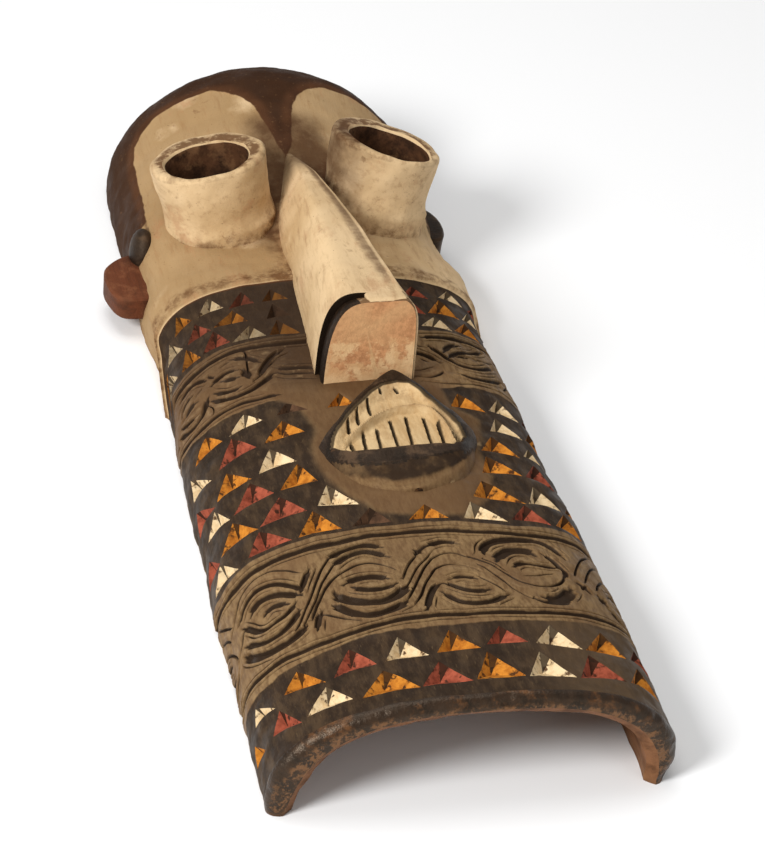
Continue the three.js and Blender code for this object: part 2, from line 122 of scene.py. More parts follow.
MOUTH_ROUNDNESS = ((200, 3.4), (252, 3.4), (285, 7), (324, 8))
TEETH_SUNK = 5.0
LIP_BACK_MIDDLE = 237.5
LIP_BACK = (
    (-50, 250), (-38, 250), (-33, 247), (-27.9, 240.5), (-13.6, 236.8), (2, 237.2), (18, 238.3),
    (34, 239.5),
    (40, 243),
    (44, 248.5), (52, 250),
)
# Lines on the mouth, in (x, y): the teeth's outline, the upper lip's inner edge,
# the lip's front edge and its foot
TEETH_OUTLINE = (
    (-30, 248), (-26.5, 258.5), (-21.5, 267.5), (-14, 278), (-4.5, 288), (6, 295.5), (13.5, 299.5),
    (20.5, 299),
    (26, 291.5), (30.2, 280), (34.3, 269), (38, 257), (41, 249), (39, 243), (34, 239.4), (18, 238.2),
    (2, 237.1),
    (-13.6, 236.7), (-27, 240.4),
)
LIP_INNER_EDGE = (
    (-38, 248), (-35.3, 256), (-29.3, 265.5), (-22.5, 275.5), (-13.7, 286.5), (-4, 298.5), (5.6, 306.5),
    (15.7, 310),
    (23, 307.5), (28.8, 297), (33.6, 283.5), (38.3, 271), (42.6, 258.5), (45, 250), (41, 241), (34, 236),
    (18, 235),
    (2, 234), (-13.6, 233), (-27.9, 236),
)
LIP_FRONT = (
    (-51, 252), (-40.5, 246), (-29.6, 230), (-16, 223), (-1, 222.7), (11, 224.3), (23, 226.3),
    (41, 234.3), (51, 250),
)
LIP_FOOT = (
    (-51, 250), (-42.5, 246), (-36.5, 230), (-24.4, 216), (-4.4, 205), (11.5, 206.7), (29.4, 217.3),
    (43.6, 232.5),
    (52, 248),
)
TOOTH_RIDGE = (
    -31, 250, -22, 257, -13, 265.7, -4.3, 274.3, 5.7, 280.3, 15, 281.8, 22.8, 281.3, 29.9, 276, 33.9,
    263.5, 36, 249.7,
    36.7, 243,
)
TOOTH_CUTS = (
    (-16.2, 259.5, -18, 240), (-25.3, 251, -25, 241), (-6.8, 263.5, -9, 239), (3.3, 272.5, 1.6, 239),
    (14, 276, 10.3, 239), (24.5, 274, 22.8, 243), (31.6, 266, 31.1, 243), (37, 254, 37.8, 244),
    (-15.2, 286, -17, 268.5), (-23, 275, -24.5, 260), (-6.8, 294.7, -7.5, 279), (3.1, 302, 3.2, 300),
    (13, 304, 14.5, 302), (15.3, 288, 15.3, 285.5), (17.5, 286, 23, 289),
)
EARS = (
    {"outer": -132, "inner": -90, "from": 490, "to": 548, "low": 12},
    {"outer": 108, "inner": 80, "from": 545, "to": 592, "low": 12},
)
KNOB_PLACE, KNOB_RADII = (-103.0, 542, 31), (9, 14, 18)

# Materials, in the order of the piece's slots
KAOLIN, CARVED, WHITE, OCHRE, RED, SOOT, RIM, BARE, BORE, BLACK, TEETH, FACET, EAR = range(13)
PAINTS = {"w": WHITE, "o": OCHRE, "r": RED, "b": SOOT}

# Carving, in (across, along) on the skin

# Pits: left corner, right corner, tip and paint
PITS = (
    (-150, 30, -133, 26, -144, 43, "o"), (-124, 27, -104, 20, -115, 41, "r"),
    (-100, 21, -73, 20, -85, 39, "w"),
    (-68, 18.5, -35, 18.5, -52, 39, "o"), (-34, 19, -5, 19.5, -20, 40, "r"),
    (-3, 20, 25, 21, 8.5, 44.5, "o"),
    (27, 20, 55, 20, 38, 42, "w"), (57, 20, 88, 25, 68.5, 44, "r"), (91, 26, 117, 28, 104, 48, "o"),
    (122, 29, 148, 30, 136, 50, "w"),
    (-160, 54, -141, 48, -150, 64, "o"), (-137, 51, -117, 45.5, -132, 62, "w"),
    (-109, 49, -84, 43, -98, 62, "o"),
    (-79, 44, -54, 46, -66, 64, "r"), (-49, 46, -24, 46.5, -38, 65, "w"), (-19, 48, 6, 48.5, -8, 67, "o"),
    (10, 51, 34, 51, 21, 67, "r"), (38, 50, 66, 48, 51, 68, "w"), (68, 48, 97, 52, 84, 70, "o"),
    (101, 54, 125, 56, 113, 73, "r"), (129, 57, 152, 58, 141, 76, "o"),
    (-160, 186, -142, 181, -150, 200, "o"), (-138, 177, -112, 175, -125, 195, "w"),
    (-104, 178, -76, 178, -93, 197, "r"),
    (-72, 178, -46, 177, -59, 199, "o"), (-40, 177, -16, 177, -26, 193, "b"),
    (-6, 177, 18, 177, 6, 190, "o"),
    (27, 176, 54, 174.5, 35, 193, "w"), (57, 177, 84, 179, 70, 195, "r"),
    (88, 181, 113, 184, 101, 202, "o"),
    (118, 185, 142, 187, 130, 205, "w"),
    (-148, 199, -124, 196, -137, 216, "r"), (-122, 199, -93, 200, -107, 219, "o"),
    (-92, 201, -62, 201, -75, 221, "r"),
    (-55, 203, -31, 197, -46, 221, "w"), (38, 198, 72, 197, 48, 217, "o"),
    (74, 198, 101, 204, 83, 220, "w"),
    (104, 206, 129, 209, 117, 228, "o"), (133, 209, 154, 211, 144, 228, "r"),
    (-160, 228, -138, 224, -150, 243, "o"), (-131, 228, -108, 224, -117, 243, "w"),
    (-105, 225, -77, 227, -89, 246, "r"),
    (-73, 227, -50, 227, -58, 249, "o"), (51, 226, 78, 229, 58, 245, "o"),
    (80, 229, 106, 232, 93, 250, "r"),
    (110, 234, 134, 236, 122, 254, "w"), (138, 236, 157, 238, 148, 255, "o"),
    (-142, 248, -115, 246, -135, 266, "r"), (-113, 248.5, -87, 249.5, -101, 268, "o"),
    (-82, 251, -58, 252, -71, 272, "w"), (57, 252, 83, 251.5, 68, 270, "o"),
    (87, 256, 108, 259, 97, 273, "w"),
    (112, 261, 136, 263, 124, 281, "o"),
    (-155, 280, -139, 277, -147, 295, "o"), (-135, 277, -112, 272, -130, 296, "w"),
    (-105, 275, -78, 279, -91, 298, "r"),
    (-73, 279, -47, 281, -58, 298, "o"), (70, 278, 95, 281, 78, 296, "w"),
    (99, 284, 123, 287, 110, 303, "o"),
    (128, 289, 150, 291, 139, 307, "r"),
    (-145, 304, -124, 300, -137, 318, "r"), (-121, 299, -97, 301, -107, 316, "o"),
    (-92, 301, -69, 304, -79, 317, "w"),
    (-60, 304, -40, 305, -52, 315, "b"), (-28, 305, -10, 306, -18, 319, "o"),
    (49, 301, 73, 301, 58, 318, "o"),
    (76, 304, 101, 307, 87, 322, "w"), (105, 309, 127, 311, 116, 326, "r"),
    (-132, 402, -113, 399, -124, 419, "w"), (-109, 398, -93, 398, -101, 418, "o"),
    (-91, 399, -72, 399, -80, 419, "r"),
    (-71, 397, -49, 395.5, -57, 411, "w"), (-47, 395, -27, 394, -39, 412, "o"),
    (53, 397, 75, 397, 66, 412, "w"),
    (77, 399, 101, 402, 92, 419, "o"), (104, 404, 124, 406, 115, 421, "r"),
    (128, 407, 142, 408, 136, 421, "w"),
    (-134, 427, -123, 424, -128, 441, "o"), (-121, 424, -103, 421.5, -113, 441, "w"),
    (-99, 421, -81, 421, -90, 437, "r"),
    (-79, 422.5, -57, 417, -64, 435, "o"), (-45, 415, -29, 416, -38, 433, "b"),
    (46, 413, 60, 413, 52, 428, "r"),
    (62, 415, 88, 420, 75, 436, "o"), (91, 423, 112, 425, 102, 440, "w"),
    (116, 426, 134, 428, 126, 441, "o"),
    (-107, 440, -91, 442, -101, 453, "o"), (-87, 441, -69, 441, -77, 453, "w"),
    (-66, 438, -49, 437, -55, 451, "r"),
    (-44, 437, -27, 436, -36, 450, "o"), (48, 434, 67, 434, 58, 447, "r"), (76, 440, 98, 443, 86, 453, "w"),
    (104, 445, 120, 446, 112, 453.5, "r"),
)
PIT_DEPTH = 5.4
GROUND_SUNK = 0.5  # how far the black ground lies below the bands
GRID_ACROSS, GRID_ALONG = 2.5, 2.2  # spacing of the plain skin's points
PIT_REACH = 22.0
NOTCH_SHARE = 0.27
# A pit's corners are a left, b right, c tip, d deepest and n where the notch meets the right edge
PIT_EDGES = ("ab", "bn", "nc", "ca", "ad", "bd", "cd", "nd")
# Each facet's darkness is painted shade, most on the knife's notch, which is partly bare wood, and on the
# left facet
PIT_FACETS = (("abd", 0.08), ("nbd", 0.0), ("cnd", 1.0), ("cad", 0.24))  # with how dark each is

# Edges of the two carved bands, below and above
LOW_BAND_FOOT = (
    (-170, 72), (-130, 68), (-115, 65.5), (-95, 66.5), (-75, 69), (-50, 71), (10, 71), (40, 71.5),
    (60, 73), (80, 75),
    (100, 78), (130, 82), (175, 84),
)
LOW_BAND_HEAD = (
    (-170, 180), (-140, 173), (-128, 170), (-115, 171.5), (-100, 173), (-80, 174), (-60, 173), (0, 173),
    (20, 172.5),
    (40, 170.5), (55, 170), (70, 172), (85, 175), (100, 178), (130, 180), (175, 180),
)
HIGH_BAND_FOOT = (
    (-160, 331), (-125, 322), (-110, 320), (-95, 320.5), (-80, 321), (-62, 321.5), (-40, 318), (40, 318),
    (62, 326),
    (82, 328), (100, 331), (160, 336),
)
HIGH_BAND_HEAD = (
    (-160, 402), (-128, 393), (-122, 391), (-108, 391), (-98, 393), (-85, 394), (-70, 392.5),
    (-55, 391.5), (-20, 391),
    (48, 391), (60, 392), (70, 393.5), (85, 396), (100, 400), (160, 406),
)

# Gouge strokes: half width, depth and the points they run through
STROKES = (
    (1.8, 1.9, (-166, 85, -145, 81, -130, 79, -118, 76.5, -105, 76, -90, 75.5, -75, 76, -60, 77, -45, 79,
        -30, 80.5,
                -15, 81, 0, 80.5, 20, 80, 40, 79.5, 60, 81, 75, 82.5, 90, 84, 105, 86, 125, 88, 150, 90,
                168, 90)),
    (2.0, 2.0, (-166, 168, -145, 164, -135, 161.5, -128, 160.5, -118, 162, -105, 163.5, -90, 164, -75, 164,
        -60, 163.5,
                -45, 164, -30, 164.5, -15, 164.5, 0, 165, 15, 164, 30, 162, 45, 161, 60, 162, 75, 163.5,
                90, 166,
                110, 168, 135, 168, 168, 167)),
    (1.1, 1.2, (-139, 127, -131, 136, -124, 144, -118, 151, -110, 155.5, -102, 157.5, -94, 156, -86, 151.5,
        -79, 146)),
    (1.6, 1.9, (-125, 133, -120, 138.5, -115, 142.5, -108, 145.5, -101, 146, -94, 143, -88, 138.5, -83,
        133, -80, 128)),
    (2.2, 2.3, (-114, 131, -110, 135, -104, 136.5, -97, 135, -91, 131.5, -86, 127, -82, 125)),
    (2.2, 1.9, (-106, 122.5, -101, 125, -95, 123.5, -90, 120.5)),
    (1.5, 1.8, (-122, 127, -117, 120, -113, 114, -108, 110.5, -102, 110, -95, 111, -90, 114, -86, 119)),
    (1.8, 2.1, (-125, 113, -120, 108, -115, 103, -109, 99.5, -102, 98.5, -96, 100.5, -90, 105, -85, 111)),
    (2.4, 2.3, (-128, 107, -124, 100, -118, 94, -111, 90, -104, 87.8, -97, 88.3, -90, 91, -84, 96)),
    (1.2, 1.4, (-134, 110, -128, 117, -121, 126)),
    (1.6, 2.0, (-81, 127, -78, 134, -75, 140, -72.5, 145)),
    (1.1, 1.4, (-92, 94, -86, 102, -81, 111, -76, 120, -71, 130, -66, 140, -60, 149)),
    (2.2, 2.4, (-60, 149, -52, 154, -44, 156, -36, 155.5, -27, 152)),
    (1.0, 1.3, (-87, 95, -80, 105, -74, 116, -69, 126, -63, 135, -58, 142)),
    (2.2, 2.3, (-59, 141, -52, 146, -46, 148.7, -40, 149.5, -33, 147, -26, 143)),
    (1.3, 1.6, (-80, 99, -75, 109, -70, 118, -65, 125, -59, 130.5, -52, 134.5, -45, 137, -38, 137.3, -31,
        134.5,
                -25, 130)),
    (1.5, 1.8, (-79, 88, -77, 96, -73, 104)),
    (2.2, 2.3, (-56, 122, -49, 124, -42, 124.5, -35, 123.5, -30, 121)),
    (1.9, 2.2, (-52, 117, -47, 113.5, -40, 111.8, -33, 112.8, -27, 115)),
    (2.8, 2.5, (-63, 116, -60, 109.5, -55, 104.5, -48, 101.5, -40, 100.5, -33, 102, -27, 106, -22, 111)),
    (2.4, 2.4, (-66, 106, -62, 100, -57, 94, -51, 90.5, -45, 89.5, -38, 90.5, -31, 93, -25, 97)),
    (1.4, 1.8, (-73, 100.5, -68, 96, -62, 91, -55, 86.5)),
    (1.2, 1.4, (-22, 120, -19, 127, -15, 134, -10, 141)),
    (2.4, 2.2, (-10, 143, -5, 148)),
    (2.0, 2.2, (-2, 150, 5, 152, 11, 152, 17.5, 149.5)),
    (1.1, 1.4, (-24, 99, -19, 107, -15, 115, -11, 123, -6, 131, 0, 138, 7, 141, 14, 139.8, 20, 136)),
    (1.1, 1.4, (-20, 95, -15, 103, -11, 112, -7, 119, -2, 126, 4, 129, 11, 128.7, 17, 126, 22, 122)),
    (0.9, 1.1, (-25, 107, -20, 114, -16, 122, -11, 130, -5, 137, 0, 144)),
    (1.6, 1.9, (-15, 88, -13, 95, -10, 102, -6, 108.5, -2, 111)),
    (1.6, 1.7, (4, 115, 9, 116.5, 15, 115.5, 20, 113)),
    (1.8, 2.0, (-1, 111.5, 3, 109, 7, 105.5, 12, 102.5, 18, 101, 24, 102)),
    (1.8, 1.9, (-3, 102, 0, 97.5, 4, 93, 10, 90.5, 17, 89.5, 24, 91, 29, 94, 34, 97)),
    (1.3, 1.6, (21, 115, 25, 111, 29, 106.5, 33, 101)),
    (1.4, 1.7, (20, 137, 25, 133, 30, 128.5, 34, 123.5, 38, 118, 42, 113, 48, 109, 55, 107, 62, 108.3, 68,
        111.3,
                73, 116, 75, 121)),
    (1.3, 1.6, (24, 128, 28, 122, 32, 115, 36, 108, 40, 102, 45, 96, 50, 92)),
    (1.0, 1.2, (28, 134, 33, 129, 37, 124, 39, 120)),
    (2.2, 2.3, (30, 139, 32, 146, 38, 150.5, 46, 153, 56, 155, 65, 156, 72, 153.5, 78, 149, 82, 144)),
    (2.8, 2.1, (36, 131, 39, 136.5, 44, 141, 50, 143.5, 57, 143.5, 62, 141)),
    (1.6, 1.8, (45, 125.5, 48, 128.5, 54, 130, 61, 129.5, 68, 130, 74, 131.5)),
    (0.9, 1.1, (50, 117, 56, 118, 62, 119.8, 67, 121.5)),
    (1.6, 1.7, (67, 143, 72, 138, 76, 132, 77.5, 126, 75, 120)),
    (3.4, 2.4, (55, 96, 62, 95, 68, 98, 73, 103, 76.5, 109)),
    (1.6, 1.7, (49, 95, 53, 91.5, 58, 90.5, 66, 91.5, 72, 95)),
    (3.2, 2.1, (84, 117, 89, 112)),
    (3.2, 2.1, (96, 112, 101, 105)),
    (1.2, 1.5, (84, 126, 88, 135, 93, 144, 99, 153, 107, 161)),
    (1.2, 1.5, (90, 122, 95, 132, 101, 142, 108, 151, 116, 158)),
    (1.3, 1.6, (97, 118, 102, 127, 109, 136, 117, 144, 126, 149, 137, 148)),
    (1.9, 2.0, (108, 120, 115, 124, 123, 125, 131, 122)),
    (1.9, 2.0, (110, 113, 117, 109, 125, 109, 132, 113)),
    (2.2, 2.1, (101, 101, 107, 97, 114, 95, 124, 94, 134, 98, 141, 106)),
    (1.6, 1.7, (146, 146, 151, 138, 157, 130)),
    (1.6, 1.7, (146, 97, 152, 104, 158, 112)),
    (1.2, 1.5, (-150, 160, -144, 153, -137, 145, -131, 138)),
    (1.2, 1.5, (-158, 152, -150, 146, -142, 139, -136, 131)),
    (1.4, 1.6, (-160, 140, -152, 135, -144, 128, -138, 120, -134, 112)),
    (1.6, 1.8, (-161, 127, -153, 124, -145, 119)),
    (1.6, 1.8, (-161, 112, -153, 110, -145, 106)),
    (1.6, 1.8, (-160, 99, -151, 97, -143, 99, -136, 104)),
    # the higher band
    (1.5, 1.6, (-150, 336, -133, 329, -125, 326.5, -115, 325.5, -105, 326, -95, 327, -85, 328, -75, 328.5,
        -65, 327.5,
                -54, 327)),
    (1.3, 1.4, (38, 329, 50, 327.5, 60, 329, 70, 331, 82, 333, 95, 335, 115, 337, 148, 338)),
    (1.9, 2.0, (-150, 395, -138, 391, -128, 386, -120, 383.3, -110, 382.7, -100, 384, -90, 385, -80, 386,
        -70, 386,
                -60, 384.7, -50, 383.7, -40, 383, -20, 383)),
    (1.9, 2.0, (50, 383, 62, 384.5, 72, 386, 82, 388, 92, 390, 110, 393, 145, 396)),
    (2.2, 2.2, (-119, 353, -114, 354, -110, 355.5, -105, 355.5)),
    (1.7, 2.0, (-124, 348, -119, 344.3, -114, 343, -109, 343.5)),
    (1.8, 2.0, (-128, 343, -122, 337, -117, 334.3, -112, 333.7, -107, 336.3, -103, 341, -100, 347, -97,
        352)),
    (1.6, 1.9, (-120, 359, -116, 362.5, -112, 364.7, -107, 366)),
    (1.6, 1.9, (-118, 372.5, -111, 375, -105, 376, -99, 374, -95, 370.5)),
    (1.3, 1.6, (-104, 362.5, -99.5, 365)),
    (1.9, 1.9, (-85, 360.5, -80, 358.3, -74, 357.5)),
    (1.6, 1.8, (-92, 361.5, -86, 365.3, -80, 366.6, -73, 365)),
    (1.6, 1.8, (-92, 352, -86, 347.8, -80, 345.8, -75, 347)),
    (1.9, 2.1, (-95, 346.5, -89, 341, -83, 338, -76, 337.3, -70, 338.8, -64, 342, -58, 346.5, -54, 351)),
    (2.2, 2.0, (-92.5, 373, -90.5, 370)),
    (1.6, 1.6, (-83, 375, -78, 377)),
    (1.8, 1.5, (-75, 378.5, -68, 375.5, -63, 372, -58, 367.5)),
    (0.8, 1.6, (-66, 385, -65.5, 376, -67, 366, -68, 355)),
    (2.4, 2.2, (-70, 364, -69, 358, -68.5, 353)),
    (1.6, 1.9, (-62, 354, -58, 360, -53.5, 367, -49, 372, -43, 375.5)),
    (1.2, 1.4, (-66, 349.5, -60, 353.5, -56, 358.5, -50, 365)),
    (1.8, 1.9, (-50, 357, -45, 354.5, -38, 353, -26, 351)),
    (1.4, 1.6, (-50, 351.5, -46, 348.7, -40, 347, -29, 345)),
    (1.0, 1.3, (-51, 346.5, -46, 342.7, -40, 340.7, -29, 338)),
    (1.3, 1.6, (-58, 345, -55, 349.5)),
    (0.7, 1.3, (-98.5, 344, -96, 338, -96.5, 332)),
    (1.4, 1.6, (-144, 350, -138, 345, -132, 339)),
    (1.4, 1.6, (-143, 362, -136, 366, -129, 368)),
    (1.4, 1.6, (-144, 373, -136, 377, -127, 377)),
    (1.8, 1.9, (36, 366.5, 42, 364, 46, 362, 50, 358, 54, 353.5)),
    (1.0, 1.3, (34, 341.5, 40, 342.5, 47, 345.5)),
    (1.4, 1.6, (32, 334.8, 42, 334, 49, 336.5, 54, 341)),
    (1.8, 1.8, (44, 374, 48, 371)),
    (1.5, 1.6, (43.5, 356.5, 46.5, 353)),
    (1.5, 1.7, (52, 372.5, 56, 366.5, 60, 360, 65, 354.5, 71, 352, 78, 352.7, 84, 355, 90, 359.5, 97, 366)),
    (1.6, 1.7, (68, 362, 73, 364.3, 79, 366.5)),
    (1.5, 1.7, (62, 359.5, 66, 364, 70, 368, 76, 371, 83, 374.5, 89, 379, 94, 384)),
    (1.7, 1.8, (61, 367, 64, 372, 68, 376, 75, 379.5)),
    (1.7, 1.8, (65, 343, 71, 340.3, 78, 340, 86, 342.5, 93, 347, 100, 353)),
    (1.2, 1.4, (84, 366, 92, 369.5, 100, 375)),
    (1.4, 1.6, (102, 346, 107, 353, 109, 361, 113, 370, 120, 376)),
    (1.6, 1.7, (115, 362, 121, 365, 129, 364)),
    (1.6, 1.7, (116, 355, 122, 352, 130, 354)),
    (1.6, 1.7, (109, 345, 119, 341, 131, 343)),
    (1.4, 1.6, (104, 380, 112, 385, 126, 386)),
)

STROKE_DEEPER = 1.3

# Outline of the smooth wood round the mouth, in the same coordinates
SMOOTH_PATCH = (
    (-60, 325), (-48, 312), (-42, 296), (-40, 280), (-46, 264), (-47, 250), (-44, 228), (-34, 204),
    (-20, 187),
    (2, 179),
    (28, 180), (46, 196), (56, 224), (54, 250), (60, 268), (64, 288), (50, 300), (46, 325), (46, 345),
    (-60, 345),
)
# Outline of the left light patch round the eye; the right one mirrors it
EYE_PATCH = (
    (-103, 520), (-105, 560), (-107, 600), (-108, 640), (-104, 655), (-97, 662), (-85, 667), (-70, 668.5),
    (-55, 668.5),
    (-42, 667), (-30, 661), (-20, 652), (-14, 642), (-10, 625), (-7, 610), (-5, 597), (-1, 588), (0, 520),
)


# Maths

def along(y, pairs):
    table = np.array(pairs, float)
    return np.interp(y, table[:, 0], table[:, 1])


def smooth(value):
    t = np.clip(value, 0, 1)
    return t * t * (3 - 2 * t)


def dome_shrink(y, start, end):
    t = np.clip((y - start) / (end - start), 0, 1)
    return (1 - t**DOME_POWER) ** (1 / DOME_POWER)


def section(left, right, height, roundness, turn):
    angle = turn * np.pi / 2
    x = np.sign(np.sin(angle)) * np.abs(np.sin(angle)) ** (2 / roundness)
    z = np.abs(np.cos(angle)) ** (2 / roundness)
    return x * np.where(x < 0, left, right), z * height


def curl(x, z):
    low = np.clip(1 - z / CURL_HEIGHT, 0, 1)
    return x * (1 - np.where(x < 0, LEFT_CURL, RIGHT_CURL) / 120 * low * low)


def outer_point(station, turn, inset=0.0):
    station, turn = np.broadcast_arrays(np.asarray(station, float), np.asarray(turn, float))
    fall = smooth((np.abs(turn) - CHEEK_FALL_START) / (1 - CHEEK_FALL_START))
    edge = CHEEK_LINE + CHEEK_TILT * turn - CHEEK_FALL * fall
    closeness = 1 - smooth(np.abs(station - CHEEK_LINE) / CHEEK_REACH)
    y = station + (edge - CHEEK_LINE) * closeness
    shrink = dome_shrink(y, DOME_START, LENGTH)
    past = station - CHEEK_LINE
    lip = CHEEK_LIP * np.clip(past / CHEEK_LIP_STEP, 0, 1) * (1 - smooth(past / CHEEK_HOLLOW))
    swell = lip - inset
    left = (along(y, LEFT_HALF_WIDTH) + swell + along(y, LEFT_SWELL)) * shrink
    right = (along(y, RIGHT_HALF_WIDTH) + swell) * shrink
    height = (along(y, CROWN_HEIGHT) + swell) * shrink
    roundness = along(y, ROUNDNESS) + np.where(turn < 0, along(y, LEFT_FULLNESS), 0)
    x, z = section(left, right, height, roundness, turn)
    return np.stack([curl(x, z), y, z], -1)


# Arc length across the face at each whole millimetre along, from the middle
TURNS = np.linspace(-1, 1, 361)
ARCS = []
for whole in range(int(LENGTH)):
    ring = outer_point(whole, TURNS)
    run = np.r_[0, np.cumsum(np.hypot(np.diff(ring[:, 0]), np.diff(ring[:, 2])))]
    ARCS.append(run - run[len(run) // 2])


def arc_row(station):
    low = int(np.clip(station, 0, len(ARCS) - 2))
    share = np.clip(station - low, 0, 1)
    return ARCS[low] * (1 - share) + ARCS[low + 1] * share


def across_at(station):
    """Places of the columns across the skin at one station."""
    ends = arc_row(station)
    share = np.linspace(-1, 1, COLUMNS)
    return np.where(share < 0, share * -ends[0], share * ends[-1])


def turn_at(across, station):
    across, station = np.broadcast_arrays(np.asarray(across, float), np.asarray(station, float))
    turn = np.empty(across.shape)
    key = np.round(station * 2) / 2
    for value in np.unique(key):
        here = key == value
        turn[here] = np.interp(across[here], arc_row(value), TURNS)
    return turn


def skin(across, station, lift):
    """Points of the outer skin, raised by lift along its normal."""
    turn = turn_at(across, station)
    point = outer_point(station, turn)
    step = 0.004
    after, before = np.clip(turn + step, -1, 1), np.clip(turn - step, -1, 1)
    sideways = outer_point(station, after) - outer_point(station, before)
    forward = outer_point(np.minimum(station + 0.5, LENGTH - 0.01), turn) - outer_point(station - 0.5, turn)
    normal = np.cross(sideways, forward)
    normal /= np.linalg.norm(normal, axis=-1, keepdims=True)
    lifted = point + normal * (lift + uneven(point))[..., None]
    lifted[..., 2] = np.where(np.abs(turn) > 0.99999, 0, np.maximum(lifted[..., 2], 0))
    return lifted


def wobble(points, wavelength, seed):
    """Smooth noise of about unit height made of a few waves."""
    rng = np.random.default_rng(seed)
    total = np.zeros(points.shape[:-1])
    for _ in range(12):
        direction = rng.normal(size=3)
        direction *= 2 * np.pi / (wavelength * rng.uniform(0.7, 1.7) * np.linalg.norm(direction))
        total += np.sin(points @ direction + rng.uniform(0, 2 * np.pi))
    return total / math.sqrt(6)


def uneven(points):
    """Hand-carved unevenness, never outward."""
    depth = 0.4 * wobble(points, 70, 1) + 0.25 * wobble(points, 22, 2) + 0.12 * wobble(points, 9, 3)
    return np.minimum(depth - 0.35, 0.3)


def distance_to_path(points, path):
    """Distance of each point to a polyline, and how far along it the nearest place is."""
    best = np.full(len(points), 1e9)
    place = np.zeros(len(points))
    start = 0.0
    for a, b in zip(path[:-1], path[1:]):
        edge = b - a
        length = np.linalg.norm(edge)
        t = np.clip((points - a) @ edge / length**2, 0, 1)
        gap = np.linalg.norm(points - a - t[:, None] * edge, axis=1)
        nearer = gap < best
        best = np.where(nearer, gap, best)
        place = np.where(nearer, start + t * length, place)
        start += length
    return best, place, start


def inside_polygon(points, corners):
    inside = np.zeros(len(points), bool)
    for (x0, y0), (x1, y1) in zip(corners, np.roll(corners, -1, axis=0)):
        crosses = (y0 > points[:, 1]) != (y1 > points[:, 1])
        at = x0 + (points[:, 1] - y0) * (x1 - x0) / (y1 - y0 if y1 != y0 else 1)
        inside ^= crosses & (points[:, 0] < at)
    return inside


def signed_distance(points, corners):
    """Distance to a polygon's outline, above 0 inside it."""
    corners = np.array(corners, float)
    gap, _, _ = distance_to_path(points, np.vstack([corners, corners[:1]]))
    return np.where(inside_polygon(points, corners), gap, -gap)


def curve_through(flat, spacing):
    """Evenly spaced points on a smooth curve through the given ones."""
    knots = np.array(flat, float).reshape(-1, 2)
    ends = np.vstack([2 * knots[0] - knots[1], knots, 2 * knots[-1] - knots[-2]])
    dense = []
    t = np.linspace(0, 1, 12, endpoint=False)[:, None]
    for p0, p1, p2, p3 in zip(ends[:-3], ends[1:-2], ends[2:-1], ends[3:]):
        square, cube = 2 * p0 - 5 * p1 + 4 * p2 - p3, 3 * p1 - p0 - 3 * p2 + p3
        dense.append(0.5 * (2 * p1 + (p2 - p0) * t + square * t**2 + cube * t**3))
    dense = np.vstack([*dense, knots[-1:]])
    run = np.r_[0, np.cumsum(np.linalg.norm(np.diff(dense, axis=0), axis=1))]
    stops = np.linspace(0, run[-1], max(3, int(run[-1] / spacing) + 1))
    return np.stack([np.interp(stops, run, dense[:, k]) for k in range(2)], -1)


# Mesh building

# What the fields say. taupe: centimetres inside the greyed wood, and soft brown shade on the kaolin.
# groove: strokes and teeth cuts darker with their depth, the lips darker, painted shade deeper in the bores,
# 1 on the nose, where it paints shade on the black nostril faces, and up to 2 on its dirty strip.
# umber: umber paint on the head, and on the carved skin painted shade above 0, with some darker patina, and
# a painted sheen below it.
# stain: dirt, painted shade between the eyes, beside the nose and on the tubes' sides facing it, and the
# soft edge of the smooth patch on the carved skin.
# inside: paint left in a pit, and how far the cream is shaded on the head.
FIELDS = ("taupe", "groove", "umber", "stain", "inside")


